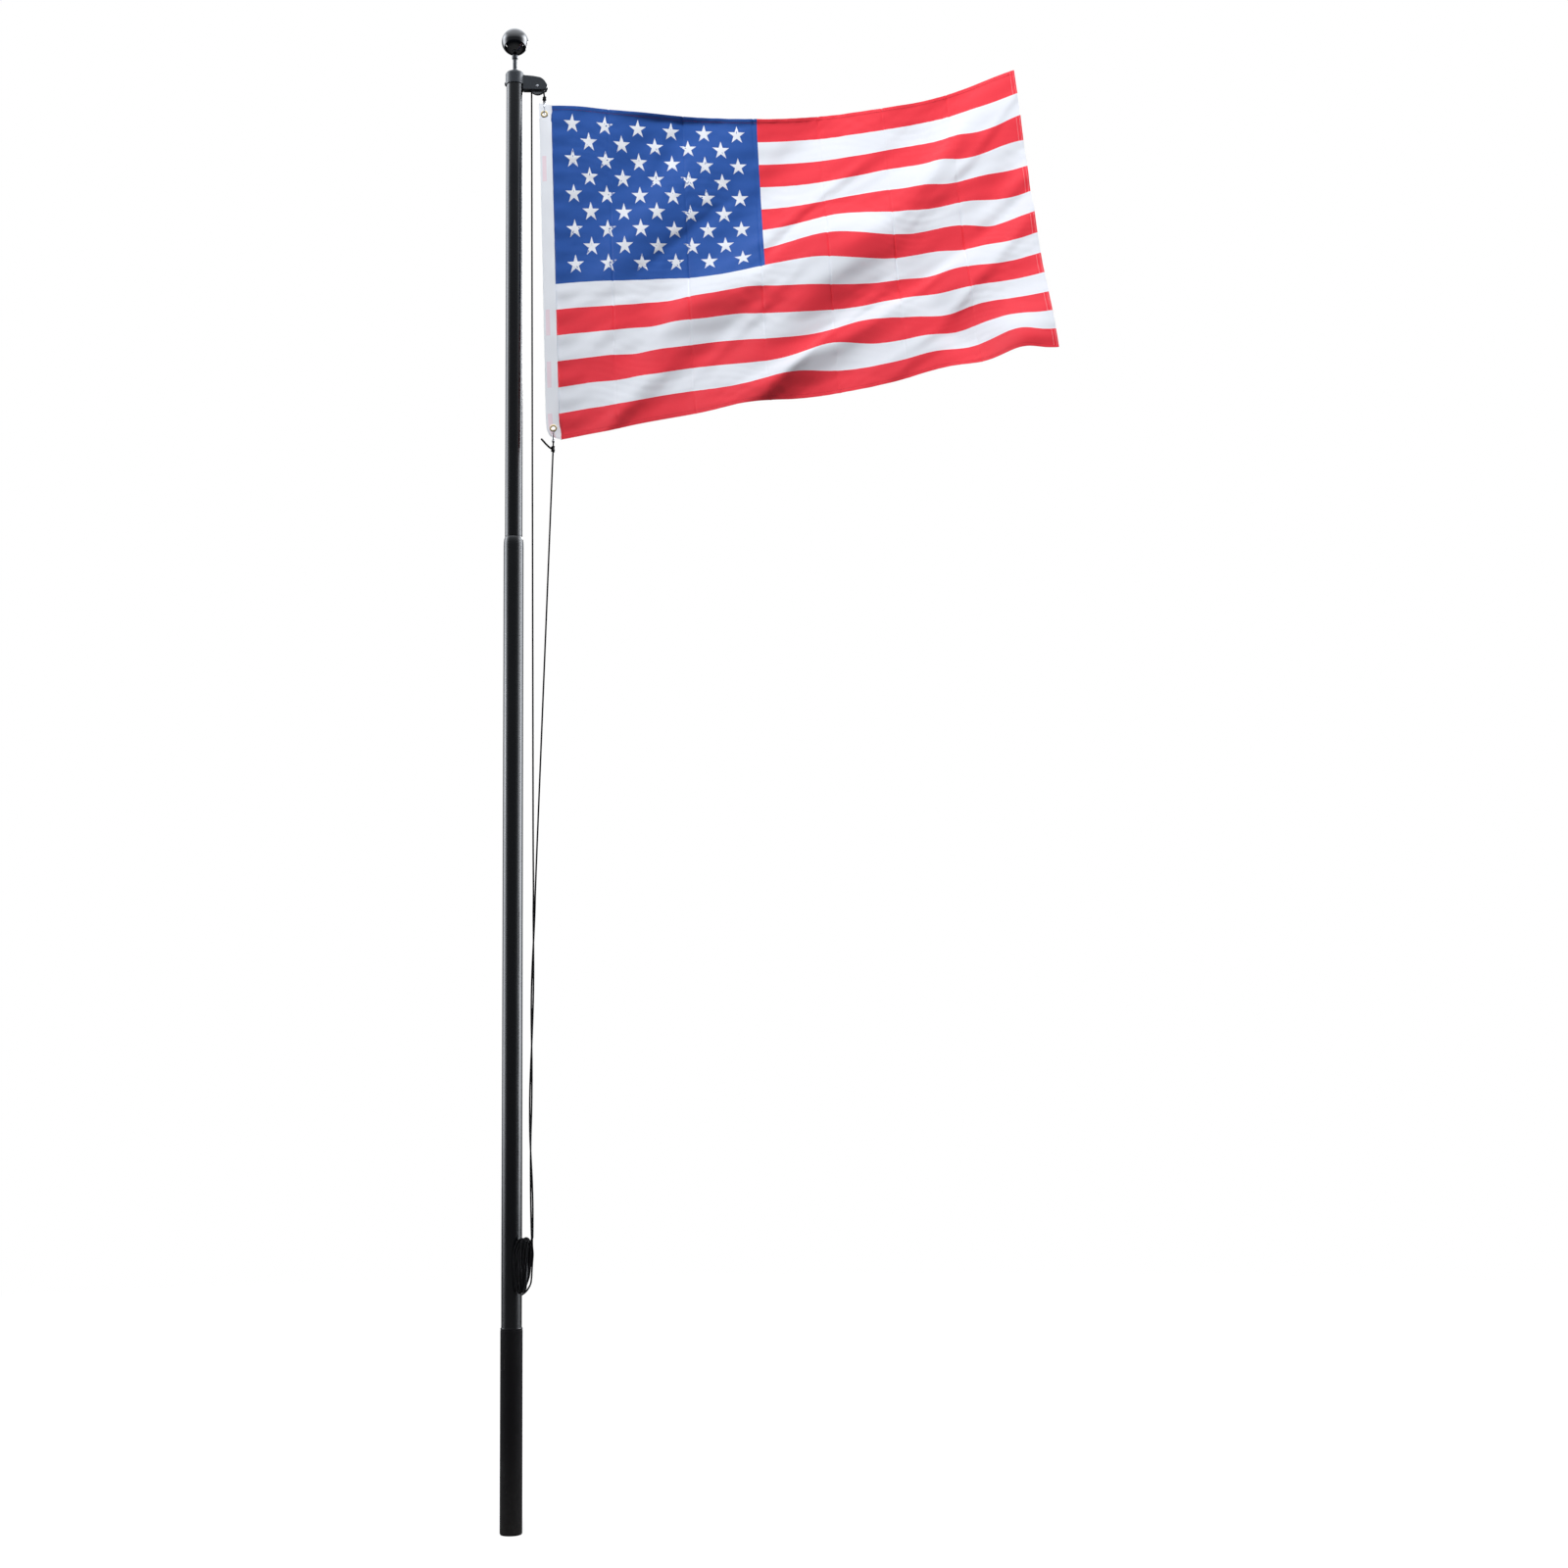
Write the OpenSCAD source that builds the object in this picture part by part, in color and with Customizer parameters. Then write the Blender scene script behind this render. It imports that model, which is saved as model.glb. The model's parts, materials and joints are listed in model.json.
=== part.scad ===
// Sectional garden flagpole with a ball finial, a fixed pulley truck,
// a rope halyard on a cleat and a 3 x 5 ft flag.
// Millimetres. Z = 0 is the flat foot of the ground sleeve, the pole's axis is X = Y = 0,
// the truck's arm and the flag point to +X.

/* [Ground sleeve] */
// Wall of the plastic ground sleeve
sleeve_wall = 1.8; // [1.2:0.1:4]
// Height of the sleeve
sleeve_h = 490; // [300:10:700]
// Thickness of the sleeve's closed floor
sleeve_floor = 4; // [2:1:8]
// Radius of the sleeve's rounded bottom edge
sleeve_edge_r = 6; // [2:1:10]
// Chamfer round the sleeve's rim
rim_chamfer = 1; // [0.5:0.1:1.5]

/* [Pole tubes] */
// Outside diameter of the lower tube
lower_d = 50.8; // [48:0.4:51]
// Height at which the lower tube starts to narrow to its neck
shoulder_z = 2446; // [1600:1:3000]
// Height of the rounded shoulder
shoulder_h = 26; // [15:1:40]
// Outside diameter of the upper tube
upper_d = 44.5; // [40:0.5:46]
// Length of the upper tube
upper_len = 1240; // [900:10:1600]
// Wall thickness of both tubes
tube_wall = 1.5; // [1:0.1:2]
// Length of the neck that stands inside the upper tube
neck_len = 120; // [60:5:200]

/* [Truck] */
// Wall of the truck's collar round the tube
collar_wall = 2.2; // [1.5:0.1:5]
// Depth of the collar below the cap
collar_depth = 24; // [16:1:40]
// Thickness of the cap
cap_t = 12; // [9:1:20]
// Width of the arm, across its two cheeks
arm_w = 22; // [19:1:30]
// Distance from the pole's axis to the sheave pin
pin_x = 60; // [58:1:70]
// Height of the sheave pin below the top of the cap
pin_drop = 42; // [40:1:46]

/* [Sheave] */
// Radius of the sheave's flanges
sheave_r = 20.5; // [18:0.5:20.5]
// Width of the sheave
sheave_w = 9; // [7:1:10]
// Radius of the sheave pin
pin_r = 3; // [2:0.5:4]

/* [Finial] */
// Radius of the ball
ball_r = 35; // [25:1:50]
// Wall thickness of the hollow ball
ball_wall = 1.5; // [1:0.5:3]
// Length of the bare stem between the cap and the ball's neck
stem_len = 30; // [20:1:60]
// Radius of the stem
stem_r = 5.7; // [4:0.1:7]
// Radius of the ball's neck
neck_r = 8; // [7.5:0.5:12]

/* [Cleat] */
// Height of the cleat's middle
cleat_z = 641; // [560:1:1200]
// Length of the cleat from horn to horn
cleat_len = 116; // [104:1:130]
// Distance of the horns' centre line from the tube
horn_reach = 24; // [22:0.5:28]
// Turn of the cleat round the pole, from +X towards the front
cleat_turn = 40; // [0:5:60]

/* [Rope] */
// Diameter of the halyard
rope_d = 4; // [3:0.5:4]

/* [Flag] */
// Thickness of the flag's cloth solid
cloth_t = 2; // [1.5:0.5:3]
// Depth of the diagonal folds in the flag
fold_depth = 22; // [0:1:30]
// Number of folds along the flag
folds = 3.6; // [2:0.1:4.5]

/* [Hidden] */

// Fits
slip = 0.3;      // free gap between pieces that slide into each other
running = 0.05;  // radial gap of a pin in its hole
side_play = 0.5; // gap at each side of the sheave

// Levels along the pole
neck_d = upper_d - 2 * tube_wall - 2 * slip;
tube_r = lower_d / 2;
sleeve_bore_r = tube_r + slip;
sleeve_r = sleeve_bore_r + sleeve_wall;
joint_z = shoulder_z + shoulder_h;
cap_seat_z = joint_z + upper_len;
cap_top_z = cap_seat_z + cap_t;
collar_bottom_z = cap_seat_z - collar_depth;
collar_bore_r = upper_d / 2 + 0.15;
collar_r = collar_bore_r + collar_wall;
cap_bevel = 8;
cap_top_r = 14.5;

// Truck arm, with the sheave's slot
pin_z = cap_top_z - pin_drop;
slot_r = sheave_r + 1.5;
arm_r = slot_r + 9;
nose_r = 7.5;
slot_w = sheave_w + 2 * side_play;
pin_head_r = 4;
pin_head_t = 1.5;

// Finial levels
nut_t = 3;
nut_r = 14;
foot_ring_r = 7.2;
foot_ring_t = 4;
stem_top_z = cap_top_z + nut_t + foot_ring_t + stem_len;
neck_h = 13;
ball_seat = sqrt(pow(ball_r, 2) - pow(stem_r, 2));
ball_z = stem_top_z + neck_h + ball_seat;
stem_in_ball = 8;

// Cleat, in its own frame: X out from the pole, Y across, Z up
foot_len = 84;
foot_w = 16;
foot_t = 4;
post_gap = 30;
post_d = 10;
horn_r = 5.5;
horn_tip_r = 3;
horn_x = tube_r + horn_reach;
screw_z = 34;
screw_r = 2.5;
screw_head_r = 4.2;
screw_head_t = 2;
screw_len = 14;

// Hank of spare rope round the cleat
hank_len = 138;
hank_w = 40;
hank_x0 = tube_r + foot_t + screw_head_t + 1;
hank_x1 = horn_x + horn_r + 4;
hank_gap = 0.6;

// Set screw of the truck's collar
set_screw_r = 3;
set_screw_head_r = 6;
set_screw_head_t = 4;
set_screw_turn = 155;
set_screw_z = collar_bottom_z + 9;

// Flag: all of it hangs from the sheave pin, so places are given from the pin: x outward, z down
heading_t = 2;
heading_outline = [
    [3.5, -52], [36.5, -51], [34.5, -92], [44, -502], [54, -892], [61.5, -956],
    [50, -948], [32, -946], [24, -930], [21.5, -892]
];
grommet_hole_r = 5.6;
grommet_r = 9.5;
grommet_t = 0.9;
pin_at = [pin_x, 0, pin_z];
upper_eyelet = pin_at + [17.5, 0, -74];
lower_eyelet = pin_at + [41.5, 0, -925];
field_cells_u = 32;
field_cells_v = 13;
// Drops of the flag's top and bottom edges below the pin at equal steps from hoist to fly, chosen by hand
top_edge_drop = [51, 102, 154, 188, 201, 199, 161];
bottom_edge_drop = [956, 953, 957, 971, 973, 960, 974];
hoist_x = [[0, 37], [0.05, 35], [0.93, 54.5], [1, 62]];
fly_top = [1208, -420];
fly_bottom = [1259, -750];
edge_bulge = 28;
fly_sag = 40;

// Snap hooks and their swivel eyes
hook_wire = 3;
hook_in_w = 7;
hook_in_len = 21;
barrel_r = 3.2;
barrel_h = 4;
eye_ring_r = 3.2;
eye_wire_r = 1;
eye_stem = 1;
link_gap = 0.3;
hook_top = hook_wire + hook_in_len + barrel_h;
hook_bite = grommet_hole_r - hook_wire - link_gap;
eye_reach = hook_bite + hook_top + eye_stem + 2 * eye_ring_r;

// Knots
bight_rope_r = 1.8;
bight_r = bight_rope_r + eye_wire_r + link_gap;
leg_step = 0.2;
upper_knot_r = 4.5;
upper_bight_leg = 2;
lower_knot_r = 5;
lower_knot_h = 18;
lower_bight_leg = 9;
upper_bight_at = upper_eyelet + [0, 0, eye_reach];
lower_bight_at = lower_eyelet - [0, 0, eye_reach];
upper_knot_at = upper_bight_at + [0, 0, eye_wire_r + link_gap + upper_knot_r];
lower_knot_at = lower_bight_at - [1, 0, lower_bight_leg + lower_knot_h / 2];

// Halyard
rope_r = rope_d / 2;
rope_sides = 8;
groove_r = sheave_r - 4.5;
groove_wall = rope_r + 0.4;
rope_axis = [0, 1, 0];
knot_gap = 0.2;
strand_gap = rope_r + 0.4;
twist_top_z = cleat_z + 919;
twist_step = 55;
twist_steps = 15;
crossing_z = cleat_z + 799;
half_turn = 257;
hank_entry_z = cleat_z + hank_len / 2 - 3;
pair_foot = [(hank_x1 - 1.9) * cos(cleat_turn) + 14.5 * sin(cleat_turn),
             14.5 * cos(cleat_turn) - (hank_x1 - 1.9) * sin(cleat_turn), cleat_z + hank_len / 2];

// Middle of the twisted pair of strands above the cleat, from the top to the hank, chosen by hand
pair_rise = [
    [57, -18, 959], [55, -19.5, 819], [53, -20.5, 719], [51.5, -21.5, 619], [50.5, -22.5, 519],
    [49, -23.5, 419], [48, -24, 319], [49.5, -24.5, 239], [51.5, -25, 179]
];
pair_route = concat([for (p = pair_rise) p + [0, 0, cleat_z]], [pair_foot]);
// Where the standing part and the fall come together, above the twisted pair
standing_foot = [53, -17.2, cleat_z + 1039];
fall_foot = [62.3, -17, cleat_z + 1019];
// Loose end of rope, from the lower knot
tail_steps = [
    [-5.9, 0, 3], [-8.5, -1, 4.5], [-13, -2.5, 8.5],
    [-18, -3, 13.5], [-23, -2.5, 19.5], [-29, -1, 26.5]
];

// ---- Shared functions ----

function lerp(a, b, t) = a + (b - a) * t;

function smooth(t) = t * t * (3 - 2 * t);

// Smooth curve through a list of values at equal steps (Catmull-Rom)
function curve(values, t) =
    let (
        n = len(values) - 1,
        i = min(floor(t * n), n - 1),
        f = t * n - i,
        a = values[max(i - 1, 0)],
        b = values[i],
        c = values[i + 1],
        d = values[min(i + 2, n)]
    )
    b + f * (c - a) / 2 + f * f * (a - 2.5 * b + 2 * c - d / 2) + pow(f, 3) * (1.5 * (b - c) + (d - a) / 2);

// Point on a list of points [x, y, z] that fall in height, at height z
function at_height(points, z, i = 0) =
    i >= len(points) - 2 || points[i + 1][2] <= z
        ? lerp(points[i], points[i + 1], (z - points[i][2]) / (points[i + 1][2] - points[i][2]))
        : at_height(points, z, i + 1);

function unit(v) = v / norm(v);

// Points of an arc in a plane
function arc(centre, r, from, to, steps) =
    [for (i = [0:steps]) let (a = lerp(from, to, i / steps)) centre + r * [cos(a), sin(a)]];

// Direction of a route at its point i
function heading_at(route, i) =
    unit(route[min(i + 1, len(route) - 1)] - route[max(i - 1, 0)]);

// One ring of a tube: a polygon square to the route, turned the same way at each point
function tube_ring(route, i, r, side_axis) =
    let (
        along = heading_at(route, i),
        across = unit(cross(side_axis, along)),
        up = cross(along, across)
    )
    [for (k = [0:rope_sides - 1])
        let (a = k * 360 / rope_sides) route[i] + r * (cos(a) * across + sin(a) * up)];

// Faces that close a stack of rings with the same number of points
function stack_faces(rings, sides) = concat(
    [[for (k = [0:sides - 1]) k]],
    [for (i = [0:rings - 2]) for (k = [0:sides - 1])
        [i * sides + k, (i + 1) * sides + k, (i + 1) * sides + (k + 1) % sides, i * sides + (k + 1) % sides]],
    [[for (k = [sides - 1:-1:0]) (rings - 1) * sides + k]]
);

module rope(route, side_axis = rope_axis, r = rope_r) {
    color("#1b1b1d")
    polyhedron(
        points = [for (i = [0:len(route) - 1]) each tube_ring(route, i, r, side_axis)],
        faces = stack_faces(len(route), rope_sides),
        convexity = 6
    );
}

// ---- Ground sleeve and tubes ----

module ground_sleeve() {
    color("#26272a")
    difference() {
        rotate_extrude($fn = 96)
        polygon(concat(
            [[0, 0]],
            arc([sleeve_r - sleeve_edge_r, sleeve_edge_r], sleeve_edge_r, -90, 0, 6),
            [[sleeve_r, sleeve_h - rim_chamfer], [sleeve_r - rim_chamfer, sleeve_h], [0, sleeve_h]]
        ));
        translate([0, 0, sleeve_floor])
        cylinder(r = sleeve_bore_r, h = sleeve_h, $fn = 96);
    }
}

// Outline of the lower tube's outside: straight, rounded shoulder, neck
function shoulder_outline(r_low, r_high) = [
    for (i = [0:6]) let (a = i * 15)
    [r_high + (r_low - r_high) * cos(a), shoulder_z + (shoulder_h - 2) * sin(a)]
];

module lower_tube() {
    ledge_r = upper_d / 2 - 0.6;
    in_r = tube_r - tube_wall;
    neck_r_out = neck_d / 2;
    neck_r_in = neck_r_out - tube_wall;
    color("#1d1e21")
    difference() {
        rotate_extrude($fn = 96)
        polygon(concat(
            [[in_r, sleeve_floor], [tube_r, sleeve_floor]],
            shoulder_outline(tube_r, ledge_r),
            [[ledge_r, joint_z], [neck_r_out, joint_z], [neck_r_out, joint_z + neck_len]],
            [[neck_r_in, joint_z + neck_len], [neck_r_in, joint_z - 4], [in_r, shoulder_z - 4]]
        ));
        for (dz = [-screw_z, screw_z])
            cleat_frame(dz)
            translate([tube_r - 5, 0, 0])
            rotate([0, 90, 0])
            cylinder(r = screw_r + running, h = 10, $fn = 24);
    }
}

module upper_tube() {
    rim = 0.8;
    out_r = upper_d / 2;
    in_r = out_r - tube_wall;
    color("#1d1e21")
    rotate_extrude($fn = 96)
    polygon([
        [in_r, joint_z], [out_r - rim, joint_z], [out_r, joint_z + 2],
        [out_r, cap_seat_z], [in_r, cap_seat_z]
    ]);
}

// ---- Truck ----

// Side outline of the arm, from the pin: flat top, rounded nose, sloping underside
function arm_outline() = [
    for (p = concat(
        [[-pin_x, arm_r + 0.5], [-2, arm_r - 2]],
        arc([-4, -2], arm_r, 70, 14, 7),
        arc([slot_r - 3, -2], nose_r, 0, -80, 5),
        [[slot_r - 6, -nose_r - 2.5], [-pin_x, -2.5]]
    )) p + [pin_x, pin_z]
];

module arm_plate(w) {
    rotate([90, 0, 0])
    linear_extrude(w, center = true)
    polygon(arm_outline());
}

module truck_housing() {
    color("#25272b")
    difference() {
        union() {
            rotate_extrude($fn = 96)
            polygon([
                [0, collar_bottom_z], [collar_r, collar_bottom_z], [collar_r, cap_top_z - cap_bevel],
                [cap_top_r, cap_top_z], [0, cap_top_z]
            ]);
            difference() {
                arm_plate(arm_w);
                translate([0, 0, collar_bottom_z - 20])
                cylinder(r = collar_bore_r + 0.4, h = 80, $fn = 96);
            }
        }
        translate([0, 0, collar_bottom_z - 1])
        cylinder(r = collar_bore_r, h = cap_seat_z - collar_bottom_z + 1, $fn = 96);
        cylinder(r = stem_r + running, h = cap_top_z + 1, $fn = 32);
        sheave_slot();
        pin_hole();
        set_screw_shape(r = set_screw_r + running, length = 20);
    }
}

module sheave_slot() {
    translate([pin_x, 0, pin_z])
    rotate([90, 0, 0])
    cylinder(r = slot_r, h = slot_w, center = true, $fn = 64);
    translate([pin_x - slot_r, -slot_w / 2, pin_z - 30])
    cube([2 * slot_r, slot_w, 30]);
}

module pin_hole() {
    translate([pin_x, 0, pin_z])
    rotate([90, 0, 0])
    cylinder(r = pin_r + running, h = arm_w + 2, center = true, $fn = 32);
}

// A round shank across the collar's wall, square to the tube
module set_screw_shape(r, length) {
    translate([0, 0, set_screw_z])
    rotate([0, 0, set_screw_turn])
    translate([upper_d / 2 + running, 0, 0])
    rotate([0, 90, 0])
    cylinder(r = r, h = length, $fn = 32);
}

module truck_set_screw() {
    color("#1c1c1e") {
        set_screw_shape(r = set_screw_r, length = collar_wall + 1);
        translate([0, 0, set_screw_z])
        rotate([0, 0, set_screw_turn])
        translate([collar_r + 0.1, 0, 0])
        rotate([0, 90, 0])
        cylinder(r = set_screw_head_r, h = set_screw_head_t, $fn = 32);
    }
}

module sheave() {
    lip = sheave_w / 2 - 0.9;
    color("#6d7176")
    translate([pin_x, 0, pin_z])
    rotate([90, 0, 0])
    rotate_extrude($fn = 96)
    polygon(concat(
        [[pin_r + running, -sheave_w / 2], [sheave_r, -sheave_w / 2], [sheave_r, -lip]],
        arc([groove_r, 0], groove_wall, -90, -270, 10),
        [[sheave_r, lip], [sheave_r, sheave_w / 2], [pin_r + running, sheave_w / 2]]
    ));
}

module sheave_pin() {
    color("#b9bcc0")
    translate([pin_x, 0, pin_z])
    rotate([90, 0, 0]) {
        cylinder(r = pin_r, h = arm_w, center = true, $fn = 32);
        for (side = [-1, 1])
            translate([0, 0, side * (arm_w + pin_head_t) / 2])
            cylinder(r = pin_head_r, h = pin_head_t, center = true, $fn = 32);
    }
}

// ---- Finial ----

module finial_nut() {
    color("#c9ccd0")
    translate([0, 0, cap_top_z])
    difference() {
        rotate_extrude($fn = 64)
        polygon([[0, 0], [nut_r, 0], [nut_r, nut_t - 1], [nut_r - 1.5, nut_t], [0, nut_t]]);
        cylinder(r = stem_r + running, h = 20, center = true, $fn = 32);
    }
}

module finial_foot_ring() {
    color("#151517")
    translate([0, 0, cap_top_z + nut_t])
    difference() {
        cylinder(r = foot_ring_r, h = foot_ring_t, $fn = 48);
        cylinder(r = stem_r + running, h = 20, center = true, $fn = 32);
    }
}

module finial_stem() {
    color("#3a3c40")
    translate([0, 0, cap_seat_z])
    cylinder(r = stem_r, h = ball_z - ball_seat + stem_in_ball - cap_seat_z, $fn = 32);
}

module finial_neck() {
    color("#4b4d51")
    translate([0, 0, stem_top_z])
    difference() {
        rotate_extrude($fn = 48)
        polygon([
            [0, 0], [neck_r - 1, 0], [neck_r, 1.5], [neck_r, neck_h - 3],
            [neck_r - 1.5, neck_h - 0.1], [0, neck_h - 0.1]
        ]);
        cylinder(r = stem_r + running, h = 40, center = true, $fn = 32);
    }
}

module finial_ball() {
    color("#17181a")
    translate([0, 0, ball_z])
    difference() {
        sphere(r = ball_r, $fn = 96);
        sphere(r = ball_r - ball_wall, $fn = 96);
        translate([0, 0, -ball_r - 1])
        cylinder(r = stem_r + running, h = ball_r, $fn = 32);
    }
}

// ---- Cleat and its screws ----

module cleat_frame(dz = 0) {
    translate([0, 0, cleat_z + dz])
    rotate([0, 0, -cleat_turn])
    children();
}

// Foot, two posts and the horns, grown by a gap where the hank needs room
module cleat_shape(gap = 0) {
    translate([tube_r - 3, -foot_w / 2 - gap, -foot_len / 2 - gap])
    cube([foot_t + 3 + gap, foot_w + 2 * gap, foot_len + 2 * gap]);
    for (side = [-1, 1])
        translate([tube_r, 0, side * post_gap / 2])
        rotate([0, 90, 0])
        cylinder(r = post_d / 2 + gap, h = horn_reach, $fn = 32);
    tip_z = cleat_len / 2 + gap;
    thick_z = post_gap / 2 + 10;
    translate([horn_x, 0, 0])
    rotate_extrude($fn = 48)
    polygon([
        [0, -tip_z], [horn_tip_r + gap, -tip_z], [horn_r + gap, -thick_z],
        [horn_r + gap, thick_z], [horn_tip_r + gap, tip_z], [0, tip_z]
    ]);
}

module cleat() {
    color("#1a1a1c")
    cleat_frame()
    difference() {
        cleat_shape();
        cylinder(r = tube_r + 0.1, h = 2 * foot_len, center = true, $fn = 96);
        for (dz = [-screw_z, screw_z])
            translate([tube_r - 5, 0, dz])
            rotate([0, 90, 0])
            cylinder(r = screw_r + running, h = 20, $fn = 24);
    }
}

module cleat_screw(dz) {
    color("#0f0f10")
    cleat_frame(dz)
    translate([tube_r + foot_t, 0, 0])
    rotate([0, 90, 0]) {
        cylinder(r = screw_head_r, h = screw_head_t, $fn = 32);
        translate([0, 0, -screw_len])
        cylinder(r = screw_r, h = screw_len + 0.5, $fn = 24);
    }
}

module cleat_screw_upper() { cleat_screw(screw_z); }

module cleat_screw_lower() { cleat_screw(-screw_z); }

// ---- Halyard ----

// Offset of one strand of the twisted pair at height z
function twist(z, side) =
    let (a = 90 + (crossing_z - z) * 180 / half_turn)
    side * strand_gap * [cos(a), sin(a), 0];

// Route of one strand through the twisted pair
function twisted(side) = [
    for (i = [0:twist_steps]) let (z = twist_top_z - i * twist_step)
    at_height(pair_route, z) + twist(z, side)
];

function sheave_side(side, drop) = pin_at + [side * groove_r, 0, -drop];

module halyard_standing() {
    over = [for (i = [0:12]) let (a = i * 15) pin_at + groove_r * [cos(a), 0, sin(a)]];
    straight = [for (t = [0.1:0.2:0.9]) lerp(sheave_side(-1, 0), standing_foot, t)];
    rope(concat(over, straight, [standing_foot], twisted(-1), [hank_entry(-1)]));
}

// Where a strand meets the top of the hank
function hank_entry(side) = at_height(pair_route, hank_entry_z) + twist(hank_entry_z, side);

module halyard_hank() {
    color("#1b1b1d")
    cleat_frame()
    difference() {
        translate([hank_x0, 0, 0])
        rotate([0, 90, 0])
        linear_extrude(hank_x1 - hank_x0)
        union() {
            square([hank_len - hank_w, hank_w], center = true);
            for (side = [-1, 1])
                translate([side * (hank_len - hank_w) / 2, 0])
                circle(r = hank_w / 2, $fn = 64);
        }
        cleat_shape(hank_gap);
    }
}

module halyard_upper_strand() {
    bottom = upper_knot_at + [0, 0, upper_knot_r + knot_gap];
    rope([sheave_side(1, knot_gap), sheave_side(1, 8), bottom + [-1.1, 0, 9], bottom + [-0.5, 0, 4], bottom]);
}

module halyard_right_fall() {
    top = lower_knot_at - [0, 0, lower_knot_h / 2 + knot_gap];
    straight = [for (t = [0:0.25:0.75]) lerp(top, fall_foot, t)];
    rope(concat(straight, [fall_foot], twisted(1), [hank_entry(1)]));
}

// A bight of rope through a swivel eye: a ring round the eye's wire and two legs to the knot
module bight(leg) {
    rotate([0, 90, 0])
    rotate_extrude($fn = 48)
    translate([bight_r, 0])
    circle(r = bight_rope_r, $fn = 24);
    for (side = [-1, 1])
        translate([0, side * bight_r, 0])
        cylinder(r = bight_rope_r - leg_step, h = leg, $fn = 24);
}

module upper_knot() {
    color("#141416") {
        translate(upper_knot_at)
        sphere(r = upper_knot_r, $fn = 32);
        translate(upper_bight_at)
        bight(upper_bight_leg);
    }
}

module lower_knot() {
    color("#141416") {
        translate(lower_knot_at)
        cylinder(r = lower_knot_r, h = lower_knot_h, center = true, $fn = 32);
        translate(lower_bight_at)
        mirror([0, 0, 1])
        bight(lower_bight_leg);
    }
}

module rope_tail() { rope([for (step = tail_steps) lower_knot_at + step]); }

// ---- Hooks and swivel eyes ----

// A stadium-shaped wire loop in the YZ plane with its lower bend at the origin, and its barrel above
module hook_shape() {
    rotate([90, 0, 90])
    linear_extrude(hook_wire, center = true)
    difference() {
        hook_outline(hook_in_w / 2 + hook_wire);
        hook_outline(hook_in_w / 2);
    }
    translate([0, 0, hook_wire / 2 + hook_in_len + hook_wire / 2])
    cylinder(r = barrel_r, h = barrel_h, $fn = 32);
}

module hook_outline(r) {
    low = hook_wire / 2 + hook_in_w / 2;
    straight = hook_in_len - hook_in_w;
    translate([0, low])
    circle(r = r, $fn = 48);
    translate([0, low + straight])
    circle(r = r, $fn = 48);
    translate([-r, low])
    square([2 * r, straight]);
}

// A ring standing on a short stem at the origin
module eye_shape() {
    cylinder(r = eye_wire_r, h = eye_stem, $fn = 24);
    translate([0, 0, eye_stem + eye_ring_r])
    rotate([90, 0, 0])
    rotate_extrude($fn = 48)
    translate([eye_ring_r, 0])
    circle(r = eye_wire_r, $fn = 24);
}

module snap_hook_upper() {
    color("#c8ccd2")
    translate(upper_eyelet + [0, 0, hook_bite])
    hook_shape();
}

module swivel_eye_upper() {
    color("#a9adb3")
    translate(upper_eyelet + [0, 0, hook_bite + hook_top])
    eye_shape();
}

module snap_hook_lower() {
    color("#c8ccd2")
    translate(lower_eyelet - [0, 0, hook_bite])
    mirror([0, 0, 1])
    hook_shape();
}

module swivel_eye_lower() {
    color("#a9adb3")
    translate(lower_eyelet - [0, 0, hook_bite + hook_top])
    mirror([0, 0, 1])
    eye_shape();
}

// ---- Flag ----

module grommet(at) {
    flange = heading_t / 2 + grommet_t;
    barrel = grommet_hole_r + 0.5;
    color("#c9a64e")
    translate(at)
    rotate([90, 0, 0])
    rotate_extrude($fn = 64)
    polygon([
        [grommet_hole_r, -flange], [grommet_r, -flange],
        [grommet_r, -heading_t / 2], [barrel, -heading_t / 2],
        [barrel, heading_t / 2], [grommet_r, heading_t / 2],
        [grommet_r, flange], [grommet_hole_r, flange]
    ]);
}

module grommet_upper() { grommet(upper_eyelet); }

module grommet_lower() { grommet(lower_eyelet); }

module flag_heading() {
    color("#eef1f6")
    difference() {
        rotate([90, 0, 0])
        linear_extrude(heading_t, center = true)
        polygon([for (p = heading_outline) p + [pin_x, pin_z]]);
        for (at = [upper_eyelet, lower_eyelet])
            translate(at)
            rotate([90, 0, 0])
            cylinder(r = grommet_hole_r + 0.5 + running, h = 10, center = true, $fn = 48);
    }
}

// Right edge of the heading at a share v of its height
function heading_edge_x(v) = pin_x + lookup(v, hoist_x);

// Point of the cloth's middle surface: u runs from hoist to fly, v from top to bottom
function cloth_point(u, v) =
    let (
        fly = lerp(fly_top, fly_bottom, v),
        bulge = edge_bulge * sin(180 * u),
        fold = fold_depth * smooth(min(u / 0.25, 1)) * sin(360 * folds * (u + 0.67 * v) + 40),
        z_edge = pin_z - lerp(curve(top_edge_drop, u), curve(bottom_edge_drop, u), v)
    )
    [
        lerp(heading_edge_x(v), pin_x + fly[0], u) + bulge,
        fly[1] * u + fold,
        z_edge - fly_sag * u * sin(180 * v)
    ];

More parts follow.
